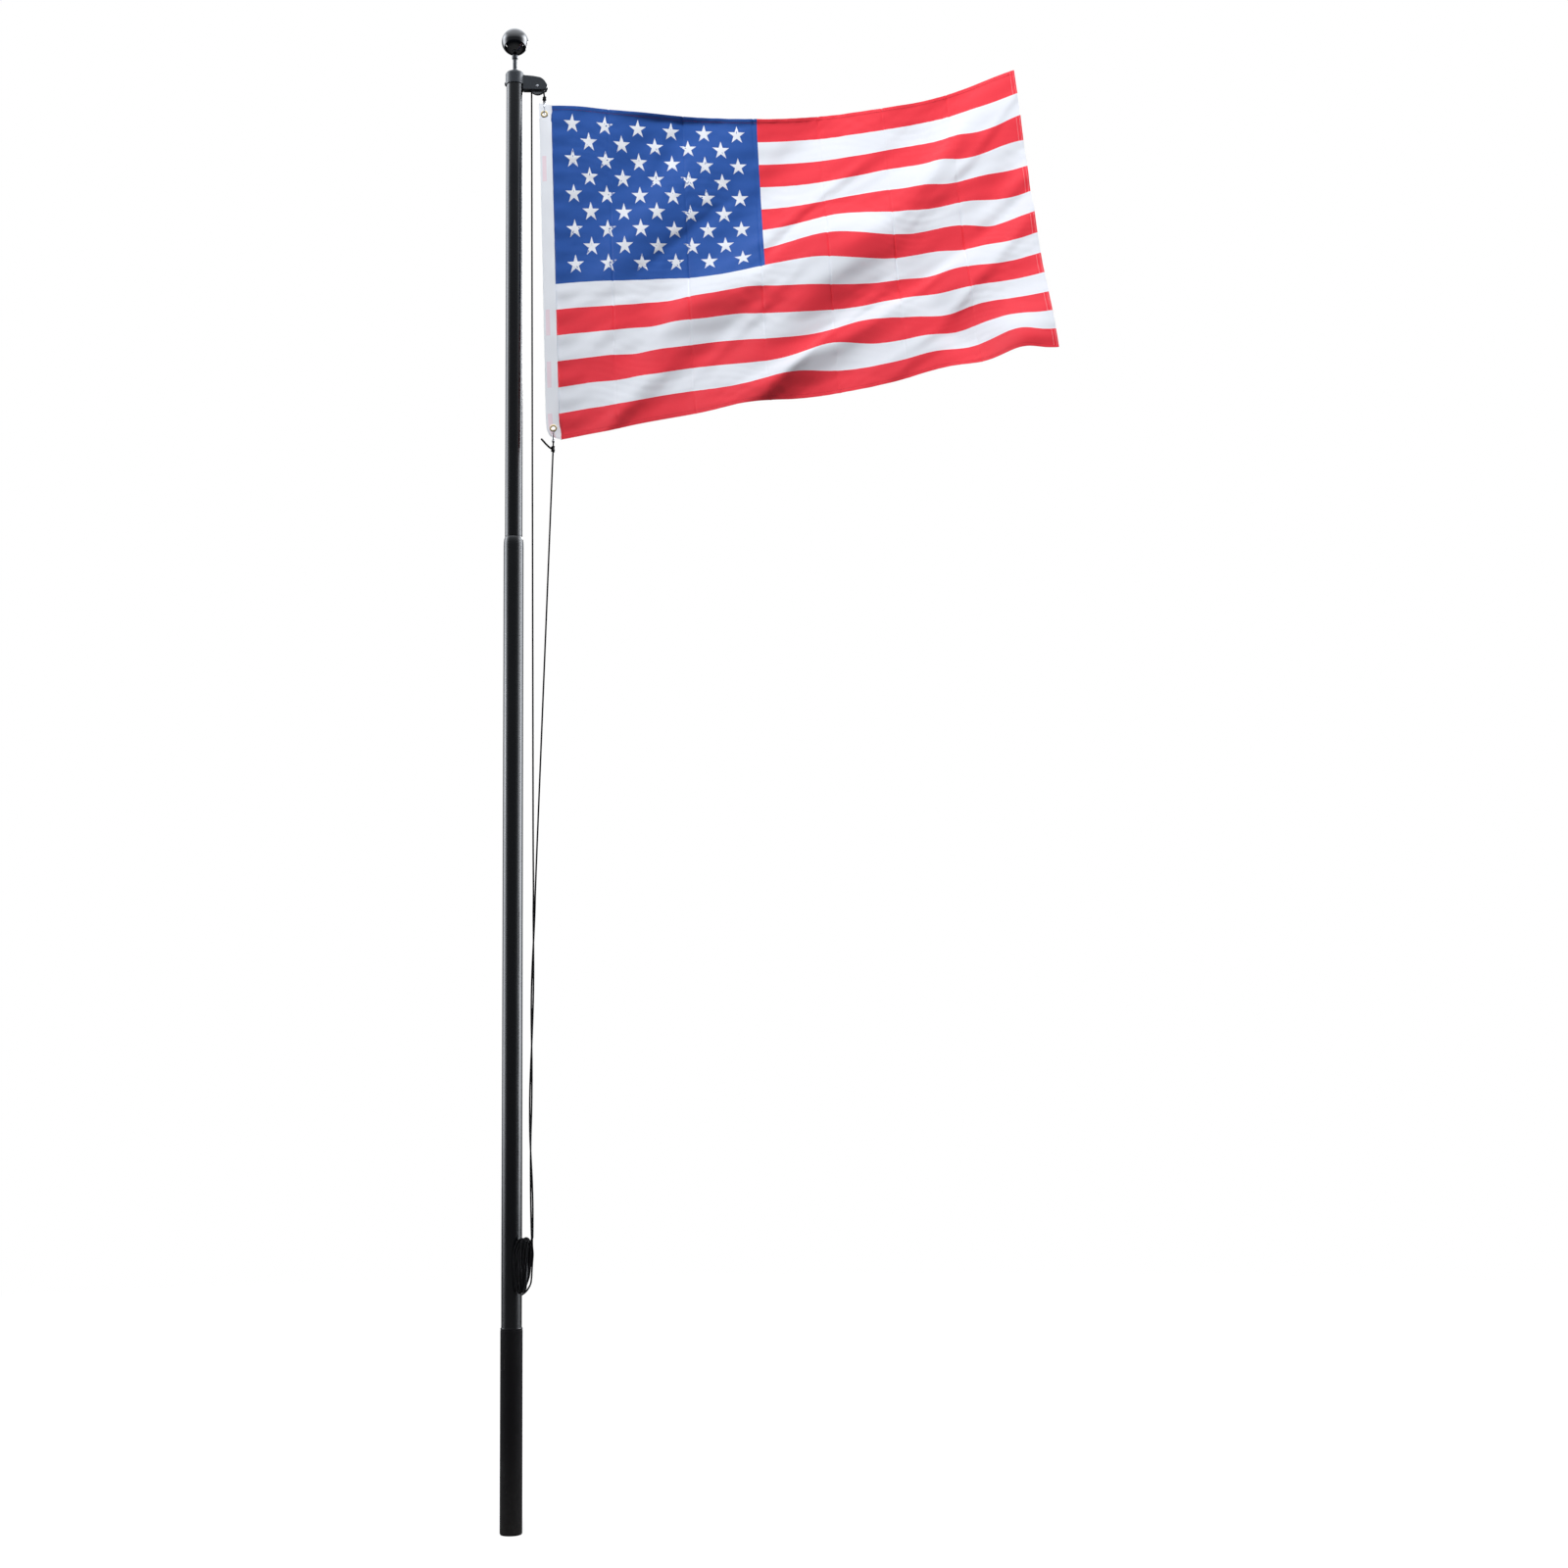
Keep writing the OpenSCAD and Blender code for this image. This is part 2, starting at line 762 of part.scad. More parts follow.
module flag_field() {
    nu = field_cells_u;
    nv = field_cells_v;
    row = nu + 1;
    count = row * (nv + 1);
    start = 0.3;
    grid = [for (j = [0:nv]) for (i = [0:nu]) cloth_point(i / nu, j / nv) + [i == 0 ? start : 0, 0, 0]];
    front = [for (p = grid) p - [0, cloth_t / 2, 0]];
    back = [for (p = grid) p + [0, cloth_t / 2, 0]];
    front_faces = [for (j = [0:nv - 1]) for (i = [0:nu - 1]) let (a = j * row + i) each [
        [a, a + 1, a + row + 1], [a, a + row + 1, a + row]
    ]];
    back_faces = [for (f = front_faces) [f[2] + count, f[1] + count, f[0] + count]];
    rim = concat(
        [for (i = [0:nu]) i],
        [for (j = [1:nv]) j * row + nu],
        [for (i = [nu - 1:-1:0]) nv * row + i],
        [for (j = [nv - 1:-1:1]) j * row]
    );
    rim_faces = [for (k = [0:len(rim) - 1]) let (a = rim[k], b = rim[(k + 1) % len(rim)]) each [
        [b, a, a + count], [b, a + count, b + count]
    ]];
    color("#c8323c")
    polyhedron(
        points = concat(front, back), faces = concat(front_faces, back_faces, rim_faces), convexity = 10
    );
}

ground_sleeve();
lower_tube();
upper_tube();
truck_housing();
truck_set_screw();
sheave();
sheave_pin();
finial_nut();
finial_foot_ring();
finial_stem();
finial_neck();
finial_ball();
cleat();
cleat_screw_upper();
cleat_screw_lower();
halyard_standing();
halyard_hank();
halyard_upper_strand();
halyard_right_fall();
upper_knot();
lower_knot();
rope_tail();
snap_hook_upper();
snap_hook_lower();
swivel_eye_upper();
swivel_eye_lower();
grommet_upper();
grommet_lower();
flag_heading();
flag_field();
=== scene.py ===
# %% [markdown]
# # A garden flagpole with its flag
# Two black tubes stand in a ground sleeve. A pulley truck and a ball are on top, and a rope halyard comes
# down to a cleat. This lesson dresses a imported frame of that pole: every piece gets its real shape in mesh
# code and a procedural finish, and rides on the body that carries it. Places are in metres, in the frame's
# own axes. Outlines and offsets are in millimetres, as a maker writes them, and MM turns them into metres.

# %% Load the frame
import json
import math
import bpy
import bmesh
import numpy as np
from mathutils import Matrix, Vector


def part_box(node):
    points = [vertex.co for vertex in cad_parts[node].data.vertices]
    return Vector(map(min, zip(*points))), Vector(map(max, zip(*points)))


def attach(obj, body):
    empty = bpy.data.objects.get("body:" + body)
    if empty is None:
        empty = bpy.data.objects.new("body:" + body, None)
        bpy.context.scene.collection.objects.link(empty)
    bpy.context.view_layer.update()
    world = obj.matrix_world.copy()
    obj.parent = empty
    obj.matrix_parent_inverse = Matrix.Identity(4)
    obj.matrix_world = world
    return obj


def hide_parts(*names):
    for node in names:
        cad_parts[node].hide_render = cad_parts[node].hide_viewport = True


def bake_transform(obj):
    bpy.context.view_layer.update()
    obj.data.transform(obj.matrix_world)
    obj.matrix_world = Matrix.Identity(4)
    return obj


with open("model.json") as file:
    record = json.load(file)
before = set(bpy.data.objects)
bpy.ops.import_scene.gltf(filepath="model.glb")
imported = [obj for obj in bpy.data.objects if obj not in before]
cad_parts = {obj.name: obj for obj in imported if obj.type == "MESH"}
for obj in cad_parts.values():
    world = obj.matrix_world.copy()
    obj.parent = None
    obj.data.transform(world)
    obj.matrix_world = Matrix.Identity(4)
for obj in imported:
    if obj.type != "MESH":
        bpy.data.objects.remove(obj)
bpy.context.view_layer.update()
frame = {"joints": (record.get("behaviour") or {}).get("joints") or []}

MM = 0.001
scene = bpy.context.scene

# %% [markdown]
# The camera stands low and looks a little upwards, as a person does who wants the whole pole in view.
# It stands about six metres away, so the pole's edges stay nearly parallel. A small roll brings the pole
# close to plumb in the picture.

# %% Camera
camera_data = bpy.data.cameras.new("camera")
camera_data.lens = 54
camera_data.sensor_width = 36
camera = bpy.data.objects.new("camera", camera_data)
camera.matrix_world = (
    Matrix.Translation((0.684, -5.88, 1.014))
    @ Matrix.Rotation(math.radians(90 + 7.84), 4, "X")
    @ Matrix.Rotation(math.radians(-0.75), 4, "Z")
)
scene.collection.objects.link(camera)
scene.camera = camera
print("camera", tuple(round(x, 3) for x in camera.location), "lens", camera_data.lens)

# %% [markdown]
# A rope is a smooth route and a round section swept along it. The route is a curve through chosen points.
# The braid is real relief: two families of helical grooves cut the tube into diamond cushions, as crossing
# strands do. A bump map would be cheaper, but its edge against the light would stay smooth.


# %% Routes and tubes
def smooth_route(points, step, closed=False):
    """Points about `step` apart along a smooth curve through `points`."""
    p = np.array(points, float)
    ends = (p[-1], p[0], p[1]) if closed else (2 * p[0] - p[1], p[-1], 2 * p[-1] - p[-2])
    knots = np.vstack([ends[0], p, ends[1:]]) if closed else np.vstack([ends[0], p, ends[2]])
    pieces = []
    for i in range(len(knots) - 3):
        a, b, c, d = knots[i : i + 4]
        n = max(2, int(np.linalg.norm(c - b) / step * 2))
        t = np.linspace(0, 1, n, endpoint=False)[:, None]
        pieces.append(
            b + t * (c - a) / 2 + t**2 * (a - 2.5 * b + 2 * c - d / 2) + t**3 * (1.5 * (b - c) + (d - a) / 2)
        )
    line = np.vstack(pieces + [p[:1] if closed else p[-1:]])
    run = np.concatenate([[0], np.cumsum(np.linalg.norm(np.diff(line, axis=0), axis=1))])
    at = np.linspace(0, run[-1], max(2, int(round(run[-1] / step))) + 1)
    return np.stack([np.interp(at, run, line[:, k]) for k in range(3)], 1)


def route_frames(route, closed=False):
    """A pair of cross directions at each point, carried along without twist."""
    along = np.gradient(route, axis=0)
    if closed:
        along[0] = along[-1] = route[1] - route[-2]
    along /= np.linalg.norm(along, axis=1)[:, None]
    side = np.zeros_like(route)
    start = np.cross(along[0], (0.0, 1.0, 0.0))
    if np.linalg.norm(start) < 0.2:
        start = np.cross(along[0], (1.0, 0.0, 0.0))
    side[0] = start / np.linalg.norm(start)
    for i in range(1, len(route)):
        s = side[i - 1] - along[i] * np.dot(side[i - 1], along[i])
        side[i] = s / np.linalg.norm(s)
    if closed:
        back = math.atan2(
            np.dot(np.cross(side[-1], side[0]), along[0]), np.dot(side[-1], side[0])
        )
        turn = np.linspace(0, back, len(route))[:, None]
        side = side * np.cos(turn) + np.cross(along, side) * np.sin(turn)
    return along, side, np.cross(along, side)


def grid_object(name, points, material, wrap=False, us=None, vs=None):
    """A quad mesh from rows of points; wrap closes each row, and us and vs are its UVs in metres."""
    rows, cols = points.shape[:2]
    across = cols if wrap else cols - 1
    i, j = np.meshgrid(np.arange(rows - 1), np.arange(across), indexing="ij")
    i, j = i.ravel(), j.ravel()
    k = (j + 1) % cols
    faces = np.stack([i * cols + j, i * cols + k, (i + 1) * cols + k, (i + 1) * cols + j], 1)
    mesh = bpy.data.meshes.new(name)
    mesh.from_pydata(points.reshape(-1, 3).tolist(), [], faces.tolist())
    if us is not None:
        layer = mesh.uv_layers.new(name="UVMap")
        u = np.stack([us[j], us[j + 1], us[j + 1], us[j]], 1)
        v = np.stack([vs[i], vs[i], vs[i + 1], vs[i + 1]], 1)
        layer.data.foreach_set("uv", np.stack([u, v], 2).ravel())
    return finish_object(name, mesh, material)


def finish_object(name, mesh, material, sharp=40):
    """Smooth shading with edges kept where faces meet at more than `sharp` degrees."""
    mesh.shade_smooth()
    if sharp:
        mesh.set_sharp_from_angle(angle=math.radians(sharp))
    if material:
        mesh.materials.append(material)
    thing = bpy.data.objects.new(name, mesh)
    scene.collection.objects.link(thing)
    return thing


def close_ends(thing, rows, cols):
    """Caps the first and last ring of a wrapped grid."""
    mesh = bmesh.new()
    mesh.from_mesh(thing.data)
    mesh.verts.ensure_lookup_table()
    mesh.faces.new([mesh.verts[k] for k in range(cols - 1, -1, -1)])
    mesh.faces.new([mesh.verts[(rows - 1) * cols + k] for k in range(cols)])
    for face in mesh.faces:
        face.smooth = True
    mesh.to_mesh(thing.data)
    mesh.free()
    return thing


def tube(name, route, radius, material, sides=16, closed=False, relief=None, round_ends=True):
    """A round wire or rope along a route; relief(angle, run) scales its radius."""
    route = np.array(route, float)
    along, side, up = route_frames(route, closed)
    run = np.concatenate([[0], np.cumsum(np.linalg.norm(np.diff(route, axis=0), axis=1))])
    if round_ends and not closed:
        dome_angles = np.radians((15, 45, 75))
        domes, shifts = np.sin(dome_angles), radius * np.cos(dome_angles)
        head = route[0] - along[0] * shifts[:, None]
        tail = route[-1] + along[-1] * shifts[::-1, None]
        route = np.vstack([head, route, tail])
        side, up = (np.vstack([[d[0]] * 3, d, [d[-1]] * 3]) for d in (side, up))
        run = np.concatenate([run[0] - shifts, run, run[-1] + shifts[::-1]])
        scale = np.concatenate([domes, np.ones(len(route) - 2 * len(domes)), domes[::-1]])
    else:
        scale = np.ones(len(route))
    angle = np.arange(sides) * 2 * math.pi / sides
    size = radius * scale[:, None] * np.ones(sides)
    if relief:
        size = size * relief(angle[None, :], run[:, None])
    points = route[:, None] + size[..., None] * (
        side[:, None] * np.cos(angle)[None, :, None] + up[:, None] * np.sin(angle)[None, :, None]
    )
    if closed:
        points[-1] = points[0]
    around = np.arange(sides + 1) * 2 * math.pi * radius / sides
    thing = grid_object(name, points, material, wrap=True, us=around, vs=run)
    if closed:
        mesh = bmesh.new()
        mesh.from_mesh(thing.data)
        bmesh.ops.remove_doubles(mesh, verts=mesh.verts, dist=1e-6)
        mesh.to_mesh(thing.data)
        mesh.free()
        return thing
    return close_ends(thing, len(route), sides)


def braid(angle, run, plaits=6, period=4.2 * MM, depth=0.13):
    """Diamond cushions between two families of helical grooves."""
    bump = np.abs(np.cos(plaits * angle) + np.cos(2 * math.pi * run / period)) / 2
    return 1 - depth + depth * np.sqrt(bump)


print("rope tools ready: a braid of 6 plaits each way, one diamond every 4.2 mm")

# %% [markdown]
# Several finishes share the same effects, so each effect is a node group with named inputs, built once:
# fine grain for paint and moulded plastic, dust and scuffs that gather low down, a brushed grain for metal,
# a plain weave for cloth and the yarns of a rope. The shader itself stays in each material.


# %% Node tools
def fill(tree, node, sockets):
    """Sets each socket to its value, or links it where the value is another node's socket."""
    for name, value in sockets.items():
        if isinstance(value, bpy.types.NodeSocket):
            tree.links.new(value, node.inputs[name])
        else:
            node.inputs[name].default_value = value


def add(tree, kind, sockets=None, **settings):
    """A shader node with its settings made and its sockets filled."""
    node = tree.nodes.new("ShaderNode" + kind)
    for name, value in settings.items():
        setattr(node, name, value)
    fill(tree, node, sockets or {})
    return node


def calc(tree, operation, a, b=0.0, clamp=False):
    """One step of arithmetic between two sockets or numbers."""
    return add(tree, "Math", {0: a, 1: b}, operation=operation, use_clamp=clamp).outputs[0]


def effect(name, inputs, outputs):
    """An empty node group with its sockets; returns the tree, its inputs and its output node."""
    tree = bpy.data.node_groups.new(name, "ShaderNodeTree")
    for label, kind, value in inputs:
        socket = tree.interface.new_socket(label, in_out="INPUT", socket_type="NodeSocket" + kind)
        if value is not None:
            socket.default_value = value
    for label, kind in outputs:
        tree.interface.new_socket(label, in_out="OUTPUT", socket_type="NodeSocket" + kind)
    given = tree.nodes.new("NodeGroupInput").outputs
    return tree, given, tree.nodes.new("NodeGroupOutput")


def use(tree, group, sockets):
    """Places a node group in a material and returns its outputs."""
    node = tree.nodes.new("ShaderNodeGroup")
    node.node_tree = group
    fill(tree, node, sockets)
    return node.outputs


print("node tools ready")


# %% Grain, for paint and moulded plastic
grain, given, out = effect(
    "fine grain",
    [
        ("Vector", "Vector", None), ("Scale", "Float", 900.0),
        ("Smooth", "Float", 0.2), ("Rough", "Float", 0.3),
    ],
    [("Height", "Float"), ("Roughness", "Float"), ("Patch", "Float")],
)
fine = add(grain, "TexNoise", {"Vector": given["Vector"], "Scale": given["Scale"], "Detail": 3.0})
wide = add(grain, "TexNoise", {"Vector": given["Vector"], "Scale": 9.0, "Detail": 4.0, "Roughness": 0.6})
spread = add(
    grain, "MapRange", {
        "Value": wide.outputs[0], "From Min": 0.3, "From Max": 0.7,
        "To Min": given["Smooth"], "To Max": given["Rough"],
    },
)
grain.links.new(fine.outputs[0], out.inputs["Height"])
grain.links.new(spread.outputs[0], out.inputs["Roughness"])
grain.links.new(wide.outputs[0], out.inputs["Patch"])
print("group", grain.name)

# %% Dust and scuffs, for what stands outdoors
weather, given, out = effect(
    "dust and scuffs",
    [
        ("Vector", "Vector", None), ("Color", "Color", (0, 0, 0, 1)), ("Dust", "Color", (0.2, 0.17, 0.14, 1)),
        ("Reach", "Float", 0.4), ("Dustiness", "Float", 0.3), ("Scuffs", "Float", 0.3),
        ("Roughness", "Float", 0.3),
    ],
    [("Color", "Color"), ("Roughness", "Float")],
)
height = add(weather, "SeparateXYZ", {0: given["Vector"]}).outputs[2]
low = calc(weather, "SUBTRACT", 1.0, calc(weather, "DIVIDE", height, given["Reach"]), clamp=True)
cloud = add(weather, "TexNoise", {"Vector": given["Vector"], "Scale": 35.0, "Detail": 6.0, "Roughness": 0.7})
dust = calc(weather, "MULTIPLY", calc(weather, "MULTIPLY", low, low), cloud.outputs[0])
dust = calc(weather, "MULTIPLY", dust, given["Dustiness"], clamp=True)
stretch = add(weather, "Mapping", {"Vector": given["Vector"], "Scale": (60.0, 60.0, 7.0)})
streak = add(weather, "TexNoise", {"Vector": stretch.outputs[0], "Scale": 6.0, "Detail": 2.0})
scuff = add(weather, "MapRange", {"Value": streak.outputs[0], "From Min": 0.7, "From Max": 0.76})
scuff = calc(weather, "MULTIPLY", scuff.outputs[0], given["Scuffs"], clamp=True)
mask = calc(weather, "MAXIMUM", dust, scuff)
tint = add(weather, "Mix", {"Factor": mask, "A": given["Color"], "B": given["Dust"]}, data_type="RGBA")
duller = calc(weather, "ADD", given["Roughness"], calc(weather, "MULTIPLY", mask, 0.4), clamp=True)
weather.links.new(tint.outputs["Result"], out.inputs["Color"])
weather.links.new(duller, out.inputs["Roughness"])
print("group", weather.name)

# %% Brushed grain, for bare metal
brushed, given, out = effect(
    "brushed grain",
    [
        ("Vector", "Vector", None), ("Lines", "Vector", (1, 1, 1)),
        ("Smooth", "Float", 0.15), ("Rough", "Float", 0.4),
    ],
    [("Height", "Float"), ("Roughness", "Float")],
)
stretch = add(brushed, "VectorMath", {0: given["Vector"], 1: given["Lines"]}, operation="MULTIPLY")
lines = add(brushed, "TexNoise", {"Vector": stretch.outputs[0], "Scale": 1.0, "Detail": 3.0})
spread = add(
    brushed, "MapRange", {"Value": lines.outputs[0], "To Min": given["Smooth"], "To Max": given["Rough"]}
)
brushed.links.new(lines.outputs[0], out.inputs["Height"])
brushed.links.new(spread.outputs[0], out.inputs["Roughness"])
print("group", brushed.name)

# %% Plain weave, for the flag, its heading and its thread
weave, given, out = effect(
    "plain weave",
    [("Vector", "Vector", None), ("Pitch", "Float", 0.0005), ("Color", "Color", (1, 1, 1, 1)),
     ("Shade", "Color", (0, 0, 0, 1)), ("Roughness", "Float", 0.7)],
    [("Height", "Float"), ("Color", "Color"), ("Roughness", "Float")],
)
across = add(weave, "SeparateXYZ", {0: given["Vector"]}).outputs
turns = [calc(weave, "MULTIPLY", calc(weave, "DIVIDE", across[k], given["Pitch"]), math.pi) for k in (0, 1)]
cell = calc(weave, "MULTIPLY", *[calc(weave, "SINE", turn) for turn in turns])
thread = calc(weave, "ABSOLUTE", cell)
slub = add(weave, "Mapping", {"Vector": given["Vector"], "Scale": (40.0, 900.0, 1.0)})
slub = add(weave, "TexNoise", {"Vector": slub.outputs[0], "Scale": 1.0, "Detail": 2.0})
blotch = add(weave, "TexNoise", {"Vector": given["Vector"], "Scale": 14.0, "Detail": 3.0})
depth = calc(weave, "MULTIPLY", calc(weave, "SUBTRACT", 1.0, thread), 0.16)
depth = calc(weave, "ADD", depth, calc(weave, "MULTIPLY", slub.outputs[0], 0.12))
depth = calc(weave, "ADD", depth, calc(weave, "MULTIPLY", blotch.outputs[0], 0.10), clamp=True)
tint = add(weave, "Mix", {"Factor": depth, "A": given["Color"], "B": given["Shade"]}, data_type="RGBA")
rough = calc(weave, "SUBTRACT", given["Roughness"], calc(weave, "MULTIPLY", thread, 0.12), clamp=True)
weave.links.new(calc(weave, "ADD", thread, slub.outputs[0]), out.inputs["Height"])
weave.links.new(tint.outputs["Result"], out.inputs["Color"])
weave.links.new(rough, out.inputs["Roughness"])
print("group", weave.name)

# %% Yarns, for the rope
yarn, given, out = effect(
    "rope yarns",
    [("Vector", "Vector", None), ("Color", "Color", (0, 0, 0, 1)), ("Fibre", "Color", (0.1, 0.1, 0.1, 1))],
    [("Height", "Float"), ("Color", "Color")],
)
YARN_TURN = 11000.0  # radians per metre, so the yarns repeat every 0.57 mm along the rope
across = add(yarn, "SeparateXYZ", {0: given["Vector"]}).outputs
slants = [calc(yarn, way, across[0], across[1]) for way in ("ADD", "SUBTRACT")]
strands = calc(yarn, "MAXIMUM", *[
    calc(yarn, "SINE", calc(yarn, "MULTIPLY", slant, YARN_TURN)) for slant in slants
])
fuzz = add(yarn, "TexNoise", {"Vector": given["Vector"], "Scale": 1500.0, "Detail": 2.0})
light = calc(yarn, "MULTIPLY", fuzz.outputs[0], calc(yarn, "ADD", strands, 1.0), clamp=True)
tint = add(
    yarn, "Mix", {"Factor": calc(yarn, "MULTIPLY", light, 0.5), "A": given["Color"], "B": given["Fibre"]},
    data_type="RGBA",
)
yarn.links.new(calc(yarn, "ADD", strands, fuzz.outputs[0]), out.inputs["Height"])
yarn.links.new(tint.outputs["Result"], out.inputs["Color"])
print("group", yarn.name)

# %% [markdown]
# Most finishes on this pole are black, and they differ mainly in gloss: powder coat on the tubes, matt
# plastic on the sleeve, satin casting on the truck and high gloss lacquer on the ball. One function makes
# such a finish from its colour, its range of roughness and how much dust and scuffing it shows.


# %% Painted and moulded finishes
def new_material(name, **plain):
    """A material with its shader and object coordinates; plain values sit on the shader's own sockets."""
    material = bpy.data.materials.new(name)
    material.use_nodes = True
    tree = material.node_tree
    shader = tree.nodes["Principled BSDF"]
    for label, value in plain.items():
        shader.inputs[label.replace("_", " ")].default_value = value
    place = tree.nodes.new("ShaderNodeTexCoord")
    return material, tree, shader, place


def bump(tree, shader, height, distance, strength=1.0):
    """Feeds a height into the shader's normal."""
    node = add(tree, "Bump", {"Height": height, "Distance": distance, "Strength": strength})
    tree.links.new(node.outputs[0], shader.inputs["Normal"])


def coated(name, color, smooth, rough, grain_scale=900.0, grain_depth=0.00002, dustiness=0.3, reach=0.6,
           scuffs=0.2, **plain):
    """Paint or moulded plastic, with dust low down and a few scuffs."""
    material, tree, shader, place = new_material(name, **plain)
    where = place.outputs["Object"]
    fine = use(tree, grain, {"Vector": where, "Scale": grain_scale, "Smooth": smooth, "Rough": rough})
    worn = use(tree, weather, {
        "Vector": where, "Color": (*color, 1), "Dust": (0.16, 0.15, 0.14, 1), "Reach": reach,
        "Dustiness": dustiness, "Scuffs": scuffs, "Roughness": fine["Roughness"],
    })
    tree.links.new(worn["Color"], shader.inputs["Base Color"])
    tree.links.new(worn["Roughness"], shader.inputs["Roughness"])
    bump(tree, shader, fine["Height"], grain_depth)
    return material


sleeve_plastic = coated(
    "matt black sleeve plastic", (0.007, 0.0066, 0.0072), 0.72, 0.85, 500.0, 0.00005, 0.2, 0.3,
    Specular_IOR_Level=0.08,
)
black_enamel = coated(
    "black powder coat", (0.0045, 0.005, 0.006), 0.2, 0.26, 320.0, 0.000003, 0.25, 0.7, 0.08,
    Specular_IOR_Level=0.35,
)
cast_black = coated(
    "satin black casting", (0.021, 0.0245, 0.030), 0.36, 0.48, 600.0, 0.00008, 0.0, Specular_IOR_Level=0.4
)
ball_lacquer = coated(
    "gloss black lacquer", (0.004, 0.0045, 0.006), 0.03, 0.06, 200.0, 0.000002, 0.0, scuffs=0.02,
    Specular_IOR_Level=0.6,
)
cleat_plastic = coated("black cleat nylon", (0.014, 0.0145, 0.016), 0.4, 0.52, 700.0, 0.00005, 0.2)
dark_steel = coated("blackened screw steel", (0.02, 0.02, 0.022), 0.3, 0.4, 900.0, 0.00002, 0.0)
sheave_plastic = coated("grey sheave nylon", (0.10, 0.108, 0.118), 0.38, 0.5, 800.0, 0.00004, 0.0)
print("finishes so far:", [m.name for m in bpy.data.materials])

# %% [markdown]
# Bare metal shows its brushing more than its colour. The same grain serves the plated steel, the nickel of
# the hooks and the brass of the grommets. Only the tone and the direction of the lines change.


# %% Bare metal finishes
def bare_metal(name, color, smooth, rough, lines=(900, 900, 60), depth=0.000006):
    """Metal with a brushed grain; lines says how close the grain is along each axis."""
    material, tree, shader, place = new_material(name, Metallic=1.0)
    marks = use(tree, brushed, {
        "Vector": place.outputs["Object"], "Lines": lines, "Smooth": smooth, "Rough": rough,
    })
    shader.inputs["Base Color"].default_value = (*color, 1)
    tree.links.new(marks["Roughness"], shader.inputs["Roughness"])
    bump(tree, shader, marks["Height"], depth)
    return material


bright_steel = bare_metal("zinc-plated steel", (0.36, 0.37, 0.39), 0.3, 0.5)
hook_metal = bare_metal("nickel-plated hook", (0.5, 0.51, 0.53), 0.1, 0.24, (500, 500, 500))
grommet_brass = bare_metal("bright brass", (0.70, 0.56, 0.30), 0.2, 0.4, (700, 40, 700))
print("bare metals: 3")


# %% [markdown]
# Cloth colours are lively but matt. Each colour goes through the weave, which darkens it between the threads
# and changes it a little from place to place. A light sheen stands for the loose fibres at the surface.


# %% Cloth and rope finishes
def woven(name, color, shade, pitch=0.0005, rough=0.72, depth=0.00008, sheen=0.02, use_uv=True):
    """Cloth or thread whose colour falls to `shade` between its threads."""
    material, tree, shader, place = new_material(
        name, Sheen_Weight=sheen, Sheen_Roughness=0.4, Specular_IOR_Level=0.12
    )
    where = place.outputs["UV" if use_uv else "Object"]
    cloth = use(tree, weave, {
        "Vector": where, "Pitch": pitch, "Color": (*color, 1), "Shade": (*shade, 1), "Roughness": rough,
    })
    tree.links.new(cloth["Color"], shader.inputs["Base Color"])
    tree.links.new(cloth["Roughness"], shader.inputs["Roughness"])
    bump(tree, shader, cloth["Height"], depth)
    return material


flag_red = woven("red flag cloth", (0.92, 0.058, 0.080), (0.68, 0.022, 0.042), rough=0.52)
flag_white = woven("white flag cloth", (0.88, 0.91, 0.97), (0.76, 0.80, 0.89), rough=0.52)
flag_blue = woven("blue flag cloth", (0.033, 0.108, 0.405), (0.014, 0.05, 0.232), rough=0.52)
star_thread = woven("white star cloth", (0.88, 0.90, 0.95), (0.70, 0.75, 0.84), pitch=0.0004)
heading_canvas = woven(
    "white heading canvas", (0.92, 0.95, 1.0), (0.84, 0.88, 0.96), pitch=0.0008, depth=0.00015
)
under_red = woven("red seen through the heading", (0.93, 0.80, 0.87), (0.86, 0.68, 0.77), pitch=0.0008)
white_thread = woven("white sewing thread", (0.86, 0.88, 0.92), (0.7, 0.74, 0.8), pitch=0.0003, use_uv=False)
red_thread = woven("red sewing thread", (0.42, 0.018, 0.034), (0.3, 0.01, 0.02), pitch=0.0003, use_uv=False)

black_rope, tree, shader, place = new_material("black braided rope", Roughness=0.8, Specular_IOR_Level=0.1)
yarns = use(tree, yarn, {
    "Vector": place.outputs["UV"], "Color": (0.003, 0.003, 0.0035, 1), "Fibre": (0.009, 0.009, 0.010, 1),
})
tree.links.new(yarns["Color"], shader.inputs["Base Color"])
bump(tree, shader, yarns["Height"], 0.00012)
print("finishes in all:", len(bpy.data.materials))

# %% [markdown]
# The halyard is one rope from the cleat over the sheave to the flag and back. Its route repeats the frame's
# own points. Above the cleat its two strands twist round each other, as wind does to a loose pair.
# The top strand and the fall go with the flag, so they are pieces of their own.

# %% Halyard routes
joints = {joint["name"]: joint for joint in frame["joints"]}
PIN = np.array(joints["sheave_spin"]["pos_m"])
CLEAT_Z = 0.641
CLEAT_TURN = math.radians(40)
ROPE_D = 4 * MM
ROPE_R = 0.55 * ROPE_D  # the braid's high points stand a little above its mean size
GROOVE_R = 16 * MM
ENTRY_Z = CLEAT_Z + 0.066  # where the two strands go into the hank
TWIST_R = 2.4 * MM
HALF_TURN = 0.257  # height in which the strands change sides

